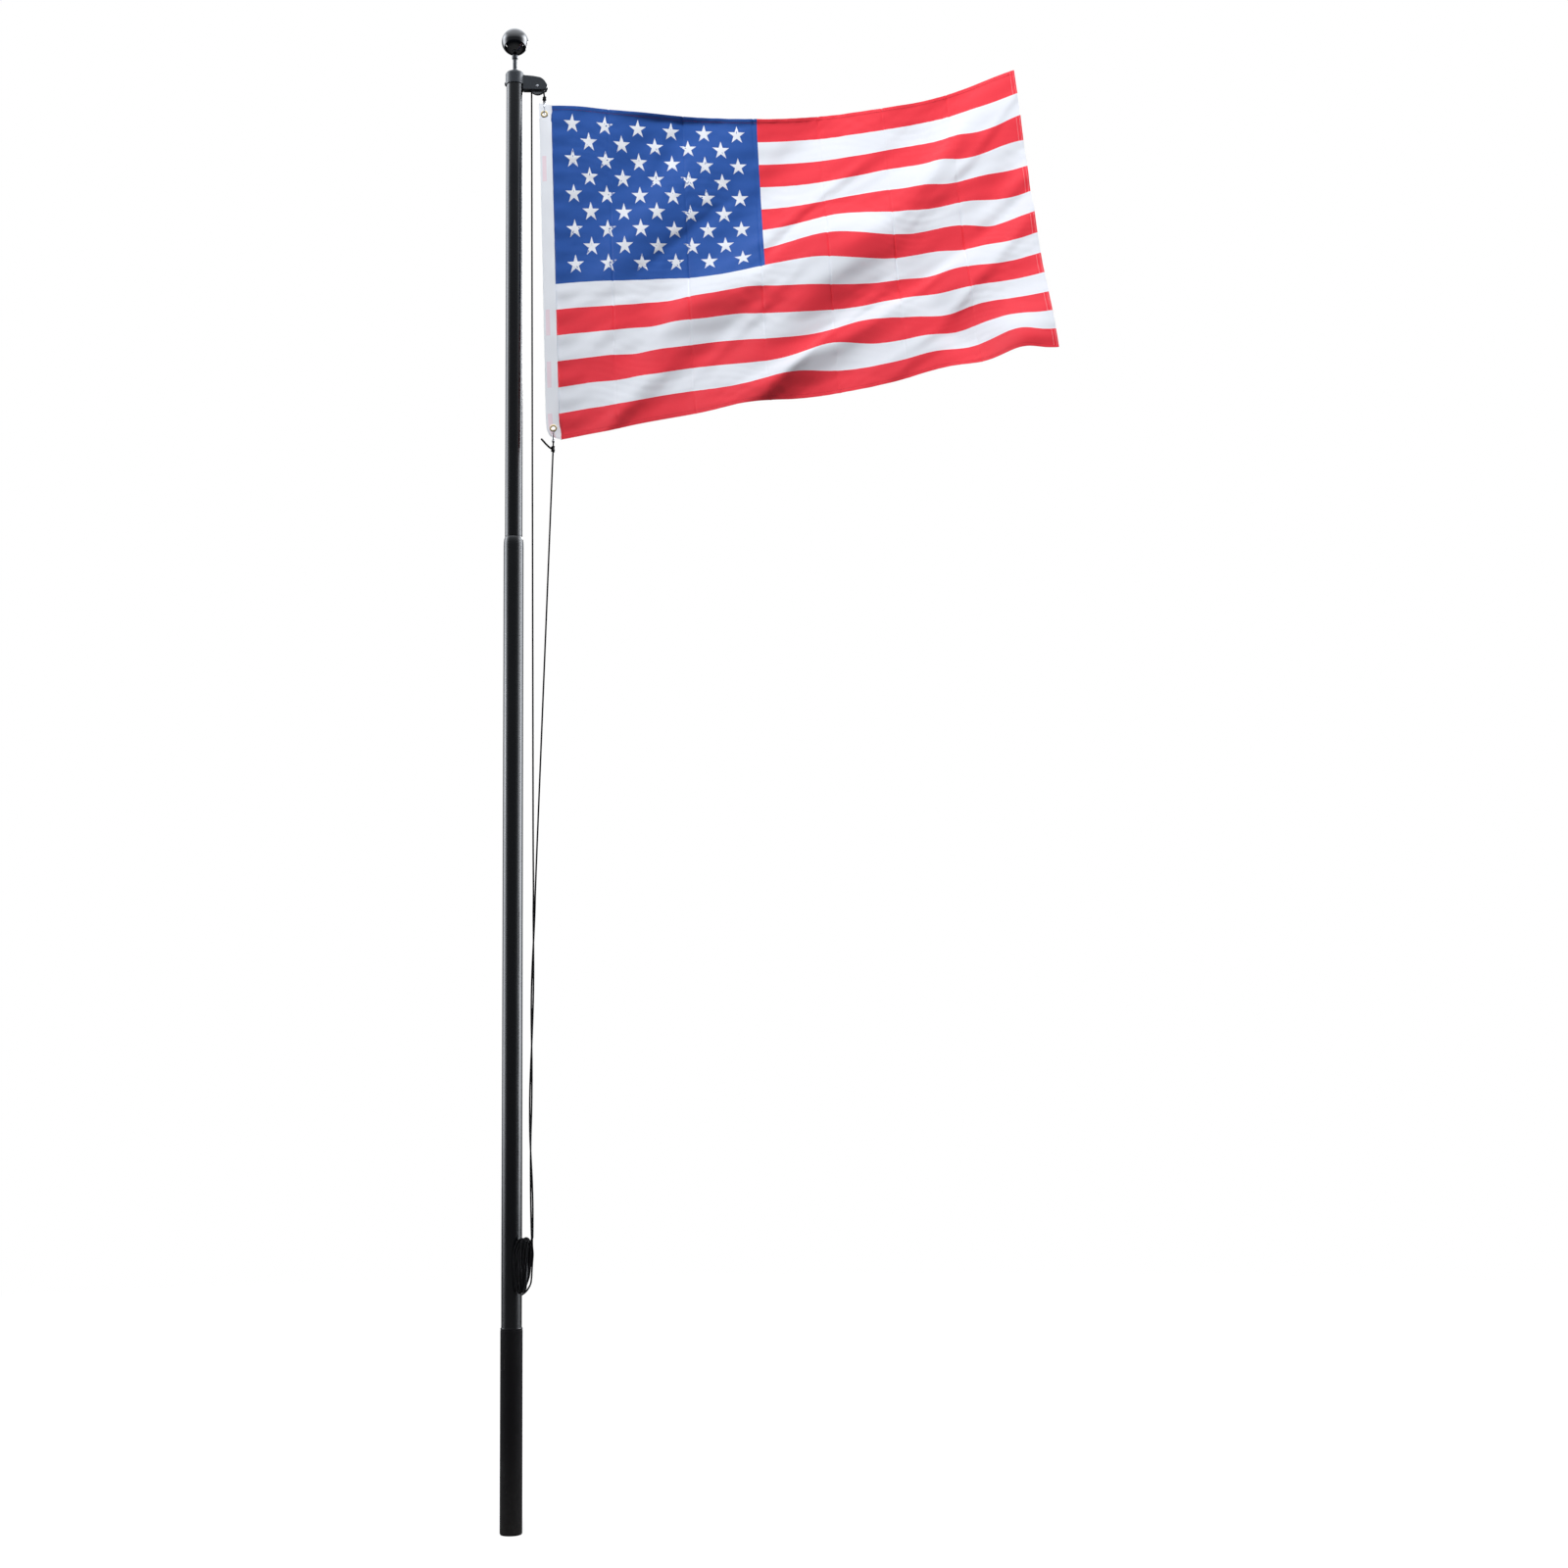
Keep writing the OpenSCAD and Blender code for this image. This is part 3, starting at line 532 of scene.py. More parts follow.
# Middle of the twisted pair, from its top down
pair_rise = np.array([
    [57, -18, 959], [55, -19.5, 819], [53, -20.5, 719], [51.5, -21.5, 619], [50.5, -22.5, 519],
    [49, -23.5, 419], [48, -24, 319], [49.5, -24.5, 239], [51.5, -25, 179], [53, -25.5, 69],
]) * MM + [0, 0, CLEAT_Z]


def pair_point(z):
    """Middle of the twisted pair at height z."""
    xs, ys, zs = pair_rise[::-1].T
    return np.array([np.interp(z, zs, xs), np.interp(z, zs, ys), z])


def strand_point(z, side):
    """One strand of the twisted pair at height z."""
    a = math.radians(90 + (CLEAT_Z + 0.799 - z) * 180 / HALF_TURN)
    return pair_point(z) + side * TWIST_R * np.array([math.cos(a), math.sin(a), 0])


def twisted(side):
    """One strand's points from the top of the twist down into the hank."""
    heights = [CLEAT_Z + 0.919 - i * 0.055 for i in range(16)] + [ENTRY_Z]
    return [strand_point(z, side) for z in heights]


def between(a, b, shares):
    """Points at the given shares of the straight way from a to b."""
    return [np.array(a) + (np.array(b) - a) * t for t in shares]


over_sheave = [
    PIN + GROOVE_R * np.array([math.cos(a), 0, math.sin(a)]) for a in np.radians(np.arange(0, 181, 15))
]
standing_foot = np.array([53, -17.2, 1039]) * MM + [0, 0, CLEAT_Z]
fall_foot = np.array([62.3, -17, 1019]) * MM + [0, 0, CLEAT_Z]
UPPER_EYELET = PIN + np.array([17.5, 0, -74]) * MM
LOWER_EYELET = PIN + np.array([41.5, 0, -925]) * MM
EYE_REACH = 37.7 * MM  # from a grommet's middle to the far side of its hook's swivel eye
UPPER_KNOT = UPPER_EYELET + [0, 0, EYE_REACH + 5.8 * MM]
LOWER_KNOT = LOWER_EYELET - [1 * MM, 0, EYE_REACH + 18 * MM]
KNOT_LOW = LOWER_KNOT - [0, 0, 9.2 * MM]
# Close together below the sheave, so that the curve doesn't bulge where the bend ends
drop = (0.002, 0.005, 0.011, 0.023, 0.05, 0.1, 0.2, 0.35, 0.5, 0.65, 0.8, 0.92, 1)
standing = over_sheave + between(over_sheave[-1], standing_foot, drop) + twisted(-1)
fall = between(KNOT_LOW, fall_foot, (0, 0.25, 0.5, 0.75, 1)) + twisted(1)
knot_top = UPPER_KNOT + [0, 0, 4.7 * MM]
top_strand = [over_sheave[0] - [0, 0, d * MM] for d in (0.2, 8)] + [
    knot_top + np.array([-1.1, 0, 9]) * MM, knot_top + np.array([-0.5, 0, 4]) * MM, knot_top,
]
print("halyard routes:", len(standing), "and", len(fall), "points")


# %% Halyard strands
routes = {}


def rope(name, points, sides=18, step=1.05 * MM, **options):
    """A stretch of braided rope; its route is kept in routes."""
    routes[name] = smooth_route(points, step)
    return tube(name, routes[name], ROPE_R, black_rope, sides, relief=braid, **options)


rope_standing = rope("rope_standing_part", standing)
rope_top = rope("rope_top_strand", top_strand, step=0.7 * MM)
rope_fall = rope("rope_fall", fall)
for piece in (rope_standing, rope_top, rope_fall):
    print(piece.name, len(piece.data.vertices), "points")

# %% [markdown]
# The spare rope is wound round the cleat in a long almond-shaped hank. Each turn is a loop with its own
# width, depth and lean, so the strands lie beside and over each other. One slack turn hangs out at the
# lower right.

# %% Hank of spare rope
cleat_out = np.array([math.cos(CLEAT_TURN), -math.sin(CLEAT_TURN), 0])
cleat_side = np.array([math.sin(CLEAT_TURN), math.cos(CLEAT_TURN), 0])
cleat_foot = np.array([0, 0, CLEAT_Z])


def in_cleat(x, y, z):
    """A place given outward from the pole, sideways and up from the cleat's middle."""
    return cleat_foot + x * MM * cleat_out + y * MM * cleat_side + z * MM * np.array([0, 0, 1])


HANK_STEP = 1.3 * MM
# Each turn: depth from the tube's middle, half width, half height, lean, bow
turns = [
    (36, 22, 61, 3, 1.0), (39, 25, 64, -3, 1.5), (42, 18, 62, 5, -1.0), (45, 26, 60, -2, 2.0),
    (48, 23, 66, 3, 1.0), (51, 19, 64, -5, -1.5), (53, 25, 62, 2, 1.0), (55, 16, 65, -3, 2.0),
    (50, 10, 64, 6, 0.5), (56, 9, 60, -6, 0.0), (41, 9, 58, -7, 0.5), (57, 3, 62, 1, 1.0),
    (45, 4, 63, 3, 0.5),
]
loops = []
for number, (depth, wide, tall, lean, bow) in enumerate(turns):
    loop = []
    for a in np.arange(0, 360, 15):
        c, s = math.cos(math.radians(a)), math.sin(math.radians(a))
        almond = abs(s) ** 0.8 * math.copysign(1, s) * (0.78 + 0.3 * c - 0.1 * c * c)
        y = wide * almond + lean * c - 6 * (1 - c)
        x = depth + bow * s + 1.6 * math.sin(math.radians(2 * a + 50 * number)) - 2 * (1 - c)
        loop.append(in_cleat(x, y, tall * c))
    loops.append(smooth_route(loop, HANK_STEP, closed=True))
slack = np.array([
    [53.2, -25.4, 68], [53.6, -26.5, 46], [55.3, -27.5, 27], [54.0, -28.5, 6], [52.8, -29, -15],
    [52, -29, -30], [49.8, -29, -44], [43.6, -28, -56], [36, -27, -65], [29, -25.5, -70],
]) * MM + cleat_foot
inner_runs = np.array([
    [
        [53, -25, 67], [51.2, -26, 45], [50.6, -27.5, 25], [49.2, -28, 3], [47.8, -27.8, -15],
        [45, -27, -30], [38, -25, -50],
    ],
    [
        [52, -23, 66], [48.6, -24.5, 45], [47, -25.5, 22], [46, -26, -3], [43, -26, -26],
        [38, -25, -44], [32, -24, -59],
    ],
]) * MM
coarse_braid = lambda angle, run: braid(angle, run, 4)
hank_parts = [
    tube(f"hank_turn_{n:02d}", loop, ROPE_R, black_rope, 12, closed=True, relief=coarse_braid)
    for n, loop in enumerate(loops)
]
hank_parts.append(rope("hank_slack_turn", slack, 12, HANK_STEP))
hank_parts += [rope("hank_inner_run", run + cleat_foot, 12, HANK_STEP) for run in inner_runs]


def joined(name, parts):
    """Joins meshes into one object."""
    with bpy.context.temp_override(active_object=parts[0], selected_editable_objects=parts):
        bpy.ops.object.join()
    parts[0].name = name
    parts[0].data.name = name
    return parts[0]


hank = joined("rope_hank", hank_parts)
print("hank:", len(turns), "turns,", round(sum(len(loop) for loop in loops) * HANK_STEP, 2), "m of rope")

# %% [markdown]
# Turned pieces are made on a lathe: an outline with softened corners, spun round an axis. The corners are
# rounded in the outline itself, because a real edge always catches a thin line of light.


# %% Lathe
def softened(outline, radius, steps=4):
    """Rounds the corners of a closed outline; radius may be a number or one for each corner."""
    points = [np.array(p, float) for p in outline]
    radii = [radius] * len(points) if np.isscalar(radius) else radius
    result = []
    for i, corner in enumerate(points):
        before, after = points[i - 1], points[(i + 1) % len(points)]
        r = radii[i]
        if r <= 0:
            result.append(corner)
            continue
        to_before, to_after = before - corner, after - corner
        lb, la = np.linalg.norm(to_before), np.linalg.norm(to_after)
        cut = min(r, lb * 0.45, la * 0.45)
        start, end = corner + to_before * cut / lb, corner + to_after * cut / la
        for k in range(steps + 1):
            t = k / steps
            result.append((1 - t) ** 2 * start + 2 * t * (1 - t) * corner + t**2 * end)
    return result


def lathe(name, outline, material, at=(0, 0, 0), axis=(0, 0, 1), segments=96):
    """Spins a closed outline of (radius, height) in millimetres round an axis through `at`."""
    profile = np.array(outline) * MM
    angle = np.arange(segments) * 2 * math.pi / segments
    rows = np.zeros((len(profile) + 1, segments, 3))
    ring = np.vstack([profile, profile[:1]])
    rows[..., 0] = ring[:, :1] * np.cos(angle)
    rows[..., 1] = ring[:, :1] * np.sin(angle)
    rows[..., 2] = ring[:, 1:]
    turn = Vector((0, 0, 1)).rotation_difference(Vector(axis)).to_matrix()
    rows = rows @ np.array(turn).T + np.array(at)
    thing = grid_object(name, rows, material, wrap=True)
    mesh = bmesh.new()
    mesh.from_mesh(thing.data)
    bmesh.ops.remove_doubles(mesh, verts=mesh.verts, dist=1e-6)
    loose = [f for f in mesh.faces if f.calc_area() < 1e-13]
    bmesh.ops.delete(mesh, geom=loose, context="FACES")
    bmesh.ops.recalc_face_normals(mesh, faces=mesh.faces)
    mesh.to_mesh(thing.data)
    mesh.free()
    thing.data.set_sharp_from_angle(angle=math.radians(50))
    return thing


print("lathe ready")

# %% [markdown]
# The sleeve is a plain plastic cup, the lower tube stands in it, and the upper tube slips over the lower
# tube's neck. All three are hollow, so their outlines run up one face of the wall and down the other. The
# lower tube narrows towards its neck in a rounded shoulder, a quarter of an ellipse 3.75 mm by 24 mm.

# %% Sleeve and tubes
SLEEVE_R, SLEEVE_TOP, SHOULDER_Z, UPPER_FOOT, UPPER_TOP = 27.5, 490, 2446, 2472, 3711.9
sleeve = lathe("sleeve", softened([
    (0, 0), (SLEEVE_R, 0), (SLEEVE_R, 484), (26.9, 484.8), (26.9, 487), (SLEEVE_R, 487.6),
    (SLEEVE_R, SLEEVE_TOP), (25.7, SLEEVE_TOP), (25.7, 4), (0, 4),
], [0, 6, 0.4, 0.3, 0.3, 0.4, 0.7, 0.4, 0.5, 0], 6), sleeve_plastic)
sleeve.data.materials.append(black_enamel)
for polygon in sleeve.data.polygons:  # the top of the rim is as glossy as the tube
    polygon.material_index = int(polygon.center.z > (SLEEVE_TOP - 0.8) * MM)
shoulder = [
    (21.65 + 3.75 * math.cos(a), SHOULDER_Z + 24 * math.sin(a)) for a in np.radians(np.arange(0, 91, 7.5))
]
lower_pole = lathe("lower_pole", [(23.9, 4), (25.4, 4)] + shoulder + [
    (21.65, 2471.9), (20.45, 2471.9), (20.45, 2592), (18.95, 2592), (18.95, 2468), (23.9, 2442),
], black_enamel)
upper_pole = lathe("upper_pole", softened(
    [(20.75, UPPER_FOOT), (22.25, UPPER_FOOT), (22.25, UPPER_TOP), (20.75, UPPER_TOP)], [0, 1.2, 0, 0], 5
), black_enamel)
print("tubes:", len(lower_pole.data.vertices), len(upper_pole.data.vertices), "points")

# %% [markdown]
# The finial is a hollow ball on a short turned neck, a bare stem, a foot ring and a thin plated nut.

# %% Finial
CAP_TOP = 3724
ball_low, ball_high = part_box("finial_ball")
ball_at = ((ball_low + ball_high) / 2).z / MM
BALL_R, BALL_INSIDE = 35, 33.5
ball_outline = [
    (BALL_R * math.sin(a), ball_at - BALL_R * math.cos(a)) for a in np.linspace(0.164, math.pi, 72)
] + [
    (BALL_INSIDE * math.sin(a), ball_at - BALL_INSIDE * math.cos(a)) for a in np.linspace(math.pi, 0.172, 36)
]
ball = lathe("ball", ball_outline, ball_lacquer, segments=128)
NUT_TOP, RING_TOP = CAP_TOP + 3, CAP_TOP + 7
nut = lathe("finial_plate_nut", softened(
    [(5.8, CAP_TOP), (14, CAP_TOP), (14, NUT_TOP), (5.8, NUT_TOP)], [0, 0.6, 1.1, 0.4]
), bright_steel)
foot_ring = lathe("finial_ring", softened(
    [(5.8, NUT_TOP), (7.2, NUT_TOP), (7.2, RING_TOP), (5.8, RING_TOP)], [0, 0.8, 0.8, 0.3]
), dark_steel)
stem_low, stem_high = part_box("finial_stem")
s0, s1 = stem_low.z / MM, stem_high.z / MM
stem_outline = softened([(0, s0), (5.7, s0), (5.7, s1), (0, s1)], [0, 0.6, 0.6, 0])
stem = lathe("finial_rod", stem_outline, cast_black, segments=48)
neck_low, neck_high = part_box("finial_neck")
n0, n1 = neck_low.z / MM, neck_high.z / MM
neck = lathe("finial_collar", softened(
    [(5.8, n0), (7.2, n0), (8, n0 + 1.5), (8, n1 - 3.2), (6.6, n1), (5.8, n1)], [0, 0.8, 0.8, 1.4, 0.6, 0]
), cast_black, segments=64)
print("ball centre at", round(ball_at, 1), "mm")

# %% [markdown]
# The truck is one casting: a cap and collar over the tube and an arm whose two cheeks hold the sheave.
# Its parts are made as plain overlapping solids and then remeshed into one skin, which a little smoothing
# turns into a casting with soft edges and fillets.


# %% Solids that are fused into castings
def plate(name, outline, thickness, at, across, bevel=0.8):
    """A flat plate of an (x, z) outline in millimetres about `at`, `thickness` thick along `across`."""
    mesh = bmesh.new()
    across = np.array(across, float)
    half = across * thickness * MM / 2
    first = [mesh.verts.new(np.array(at) + np.array([x, 0, z]) * MM - half) for x, z in outline]
    face = mesh.faces.new(first)
    new = bmesh.ops.extrude_face_region(mesh, geom=[face])["geom"]
    bmesh.ops.translate(
        mesh, vec=Vector(across * thickness * MM), verts=[v for v in new if isinstance(v, bmesh.types.BMVert)]
    )
    bmesh.ops.recalc_face_normals(mesh, faces=mesh.faces)
    if bevel:
        rim = [e for e in mesh.edges if len(e.link_faces) == 2 and e.calc_face_angle() > 1.2]
        bmesh.ops.bevel(mesh, geom=rim, offset=bevel * MM, segments=3, affect="EDGES", profile=0.5)
    data = bpy.data.meshes.new(name)
    mesh.to_mesh(data)
    mesh.free()
    return finish_object(name, data, None)


def applied(thing):
    """Applies every modifier on a piece."""
    graph = bpy.context.evaluated_depsgraph_get()
    graph.update()
    mesh = bpy.data.meshes.new_from_object(thing.evaluated_get(graph), depsgraph=graph)
    thing.modifiers.clear()
    thing.data = mesh
    return thing


def cut(thing, *tools):
    """Takes the tools' shapes out of a piece."""
    for tool in tools:
        change = thing.modifiers.new("cut", "BOOLEAN")
        change.operation = "DIFFERENCE"
        change.solver = "EXACT"
        change.object = tool
    applied(thing)
    for tool in tools:
        bpy.data.objects.remove(tool)
    return thing


def fused(name, parts, voxel, material, rounds=4, sharp=None):
    """One skin over overlapping solids, with its edges softened."""
    body = joined(name, parts)
    skin = body.modifiers.new("skin", "REMESH")
    skin.mode = "VOXEL"
    skin.voxel_size = voxel * MM
    soft = body.modifiers.new("soft", "SMOOTH")
    soft.iterations = rounds
    soft.factor = 0.5
    applied(body)
    body.data.materials.clear()
    body.data.materials.append(material)
    body.data.shade_smooth()
    if sharp:
        body.data.set_sharp_from_angle(angle=math.radians(sharp))
    return body


print("casting tools ready")

# %% Truck
CAP_SEAT = 3712
COLLAR_LOW = CAP_SEAT - 24
slot_r, nose_r = 22, 10.9
arc = lambda x, z, r, a0, a1, n: [
    (x + r * math.cos(a), z + r * math.sin(a)) for a in np.radians(np.linspace(a0, a1, n))
]
arm_top = [(-38, 31), (-12, 28.4), (0, 26), (8, 24), (13.5, 20.6), (18.5, 15.8)]
arm_side = arm_top + arc(slot_r - 6.7, 0.5, nose_r, 40, -78, 12) + [(14, -10.4), (-38, -8.6)]
cheeks = [
    plate("cheek", arm_side, 6.0, PIN + [0, side * 8.0 * MM, 0], (0, 1, 0), 0.9) for side in (-1, 1)
]
roof_side = arm_top + arc(0, 0, slot_r, 38, 165, 24) + [(-slot_r, -3.5), (-38, -8.6)]
roof = plate("roof", roof_side, 14.0, PIN, (0, 1, 0), 0)
collar = lathe("collar", softened([
    (22.4, COLLAR_LOW), (24.6, COLLAR_LOW), (24.6, CAP_TOP - 5), (20, CAP_TOP), (5.75, CAP_TOP),
    (5.75, CAP_SEAT), (22.4, CAP_SEAT),
], [0.6, 1.0, 2.5, 2.5, 0, 0, 0]), None)
truck = fused("truck", [collar, roof] + cheeks, 0.75, cast_black, 5)
bore_low = COLLAR_LOW - 60
bore = lathe("bore", [(0, bore_low), (22.35, bore_low), (22.35, CAP_SEAT), (0, CAP_SEAT)], None)
truck = cut(truck, bore)
truck.data.shade_smooth()
truck.data.set_sharp_from_angle(angle=math.radians(38))
print("truck", len(truck.data.polygons), "faces")

# %% [markdown]
# The sheave is a moulded wheel with a rope groove, a recessed web and a raised hub. It turns on a riveted
# pin. The casting is held on the tube by one socket screw on the side away from the arm.

# %% Sheave, pin and set screw
half = 4.5  # half the wheel's width
groove = [
    (GROOVE_R / MM + 2.4 * math.cos(a), 2.4 * math.sin(a)) for a in np.radians(np.linspace(-90, -270, 15))
]
sheave_outline = [
    (3.1, -half), (6.5, -half), (7.2, -half + 0.9), (13.2, -half + 0.9), (14.2, -half), (20.1, -half),
    (20.5, -half + 0.4), (20.4, -3.3), (19.0, -2.9),
]
sheave_outline += groove + [(x, -y) for x, y in sheave_outline[::-1]]
sheave = lathe("sheave_wheel", sheave_outline, sheave_plastic, at=PIN, axis=(0, 1, 0))
pin_head = [(3.5 * math.sin(a), -11 - 1.2 * math.cos(a)) for a in np.radians((20, 40, 60, 80))]
pin_outline = [(0, -12.2), *pin_head, (3.5, -11), (3, -11)]
pin_outline += [(x, -y) for x, y in pin_outline[::-1]]
sheave_pin = lathe("sheave_rivet", pin_outline, bright_steel, at=PIN, axis=(0, 1, 0), segments=40)
screw_angle = math.radians(155)
screw_out = np.array([math.cos(screw_angle), math.sin(screw_angle), 0])
screw_at = np.array([0, 0, (COLLAR_LOW + 9) * MM])
set_screw = lathe("collar_screw", softened([
    (0, 22.3), (3, 22.3), (3, 24.7), (6, 24.7), (6, 28.6), (3.2, 28.6), (3.0, 26.4), (0, 26.4),
], [0, 0.4, 0, 0.5, 0.9, 0.3, 0, 0]), dark_steel, at=screw_at, axis=screw_out, segments=48)
print("sheave at", [round(x, 4) for x in PIN])

# %% [markdown]
# The cleat is a moulded nylon bar with two horns on two feet, held by two cross-head screws. It is nearly
# hidden by the hank, but its tips show, so they are rounded as a moulding's are.


# %% Cleat
def spindle(name, points, at, axis):
    """A turned solid that is later fused or cut, so it has no material."""
    return lathe(name, points, None, at=at, axis=axis, segments=48)


def turned_with_cleat(thing, at):
    """Turns a piece about the upright line through `at` until it faces as the cleat does."""
    middle = Vector(at)
    thing.data.transform(
        Matrix.Translation(middle) @ Matrix.Rotation(-CLEAT_TURN, 4, "Z") @ Matrix.Translation(-middle)
    )
    return thing


TIP_R = 3.2
horn_tip = [(TIP_R * math.sin(a), 58 - TIP_R + TIP_R * math.cos(a)) for a in np.radians((0, 20, 40, 60, 80))]
horn_outline = horn_tip + [(3.9, 45), (4.9, 34), (5.5, 25)]
horn_outline += [(x, -y) for x, y in horn_outline[::-1]]
horns = spindle("horns", horn_outline, in_cleat(49.4, 0, 0), (0, 0, 1))
post_outline = [(0, 26), (6.5, 26), (5.6, 31), (5.0, 38), (5.2, 46), (0, 49)]
posts = [spindle("post", post_outline, in_cleat(0, 0, z), cleat_out) for z in (-15, 15)]
foot_outline = softened([(-2, -42), (4, -42), (4, 42), (-2, 42)], [0, 2.5, 2.5, 0])
foot_at = in_cleat(25.4, 0, 0)
foot = turned_with_cleat(plate("foot", foot_outline, 16, foot_at, (0, 1, 0), 1.2), foot_at)
cleat = fused("rope_cleat", [horns, *posts, foot], 0.6, cleat_plastic, 4)
core = lathe("core", [(0, 560), (25.5, 560), (25.5, 720), (0, 720)], None)
cleat = cut(cleat, core)
cleat.data.shade_smooth()
cleat.data.set_sharp_from_angle(angle=math.radians(38))


def cross_screw(name, z):
    """A pan-head screw with a cross recess."""
    head = lathe(name, softened([
        (0, 15.4), (2.5, 15.4), (2.5, 29.45), (4.2, 29.45), (4.1, 30.6), (2.2, 31.35), (0, 31.4)
    ], [0, 0.6, 0, 0.3, 0.8, 0.6, 0]), dark_steel, at=in_cleat(0, 0, z), axis=cleat_out, segments=40)
    recess_at = in_cleat(31.6, 0, z)
    slots = []
    for wide, tall in ((0.9, 4.4), (4.4, 0.9)):
        slot_outline = [(-1, -tall / 2), (1, -tall / 2), (1, tall / 2), (-1, tall / 2)]
        slots.append(turned_with_cleat(plate("slot", slot_outline, wide, recess_at, (0, 1, 0), 0), recess_at))
    return cut(head, *slots)


screw_upper = cross_screw("cleat_fixing_upper", 34)
screw_lower = cross_screw("cleat_fixing_lower", -34)
print("cleat", len(cleat.data.polygons), "faces")

# %% [markdown]
# A swivel snap hook is bent from round wire, with a sprung gate along one side, a grooved barrel and a swivel
# eye above it. The rope is tied to the eye. The lower hook is the same piece turned upside down.


# %% Snap hooks and swivel eyes
def snap_hook(prefix, eyelet, up):
    """A hook, its gate and its barrel from the grommet towards the rope; up is 1 or -1."""
    place = lambda y, z: np.array(eyelet) + np.array([0, y, up * (2.3 + z)]) * MM
    loop = [place(5 * math.sin(a), 5 - 5 * math.cos(a)) for a in np.radians(np.arange(-80, 91, 17))]
    loop += [place(5, 12), place(5, 17)]
    loop += [place(5 * math.cos(a), 19 + 5 * math.sin(a)) for a in np.radians(np.arange(0, 181, 18))]
    loop += [place(-5, 17.5), place(-5, 16.2)]
    wire = tube(prefix + "_wire", smooth_route(loop, 0.6 * MM), 1.7 * MM, hook_metal, 16)
    gate_route = smooth_route([place(-5, 4.4), place(-5.1, 9), place(-5, 16.0)], 0.5 * MM)
    gate = tube(prefix + "_gate", gate_route, 1.15 * MM, hook_metal, 14)
    knob = lathe(
        prefix + "_knob", softened([(0, 0), (1.5, 0), (1.7, 1.6), (0, 1.8)], [0, 0.3, 0.5, 0]), hook_metal,
        at=place(-6.0, 13.2), axis=(0, -1, 0), segments=24,
    )
    barrel = lathe(prefix + "_barrel", softened([
        (0, 23.6), (2.6, 23.6), (3.2, 24.6), (3.2, 25.4), (2.7, 25.7), (2.7, 26.0), (3.2, 26.3), (3.2, 27.4),
        (2.3, 28), (0, 28),
    ], [0, 0.5, 0.4, 0.2, 0.1, 0.1, 0.2, 0.4, 0.4, 0]), hook_metal,
        at=place(0, 0), axis=(0, 0, up), segments=40)
    return joined(prefix, [wire, gate, knob, barrel])


def swivel_eye(name, eyelet, up):
    """The ring that the rope is tied to, on the short stem that turns in the barrel."""
    centre = np.array(eyelet) + np.array([0, 0, up * (2.3 + 28 + 1 + 3.2)]) * MM
    angles = np.radians(np.arange(0, 360, 20))
    ring = [centre + 3.2 * MM * np.array([math.cos(a), 0, math.sin(a)]) for a in angles]
    eye = tube(name, smooth_route(ring, 0.5 * MM, closed=True), 1.0 * MM, hook_metal, 14, closed=True)
    base = np.array(eyelet) + np.array([0, 0, up * 30.25]) * MM
    stem = lathe(
        name + "_stem", softened([(0, 0), (1.4, 0), (1.1, 1.2), (0, 1.4)], [0, 0.2, 0.3, 0]), hook_metal,
        at=base, axis=(0, 0, up), segments=24,
    )
    return joined(name, [eye, stem])


hook_upper = snap_hook("snap_upper", UPPER_EYELET, 1)
hook_lower = snap_hook("snap_lower", LOWER_EYELET, -1)
eye_upper = swivel_eye("eye_upper", UPPER_EYELET, 1)
eye_lower = swivel_eye("eye_lower", LOWER_EYELET, -1)
print("hooks:", len(hook_upper.data.vertices), "points each")

# %% [markdown]
# Both ends of the halyard are tied to their eyes: a bight goes through the eye and a few turns close it. Rope
# pulled tight in a knot is thinner than it is elsewhere, and its braid is finer.


# %% Knots
TIGHT_R = 1.75 * MM
tight_braid = lambda angle, run: braid(angle, run, 5, 3.4 * MM)


def tied_knot(name, middle, eye, up, size, wraps, height):
    """Turns of rope round the strand's end, and a bight through the swivel eye."""
    middle, eye = np.array(middle), np.array(eye)
    steps = np.linspace(0, 1, 12 * wraps + 1)
    coil = [
        middle + np.array([
            size * math.cos(2 * math.pi * wraps * t) * (1 + 0.12 * math.sin(7 * t)),
            size * math.sin(2 * math.pi * wraps * t),
            (t - 0.5) * height + 0.5 * math.sin(9 * t),
        ]) * MM for t in steps
    ]
    coil_route = smooth_route(coil, 0.8 * MM)
    turns = tube(name + "_turns", coil_route, TIGHT_R, black_rope, 14, relief=tight_braid)
    r = 3.1  # the bight's own radius in the eye
    bight = [middle + np.array([0, -r * 0.8, -up * 1]) * MM]
    for a in np.radians(np.arange(0, 181, 20)):
        bight.append(eye + np.array([0, -r * math.cos(a), -up * r * math.sin(a)]) * MM)
    bight.append(middle + np.array([0, r * 0.8, -up * 1]) * MM)
    bight_route = smooth_route(bight, 0.6 * MM)
    loop = tube(name + "_bight", bight_route, TIGHT_R, black_rope, 14, relief=tight_braid)
    reach = np.array([0, 0, height * MM / 2])
    core_route = smooth_route([middle - reach, middle + reach], 0.8 * MM)
    core = tube(name + "_core", core_route, 1.9 * MM, black_rope, 14, relief=braid)
    return joined(name, [turns, loop, core])


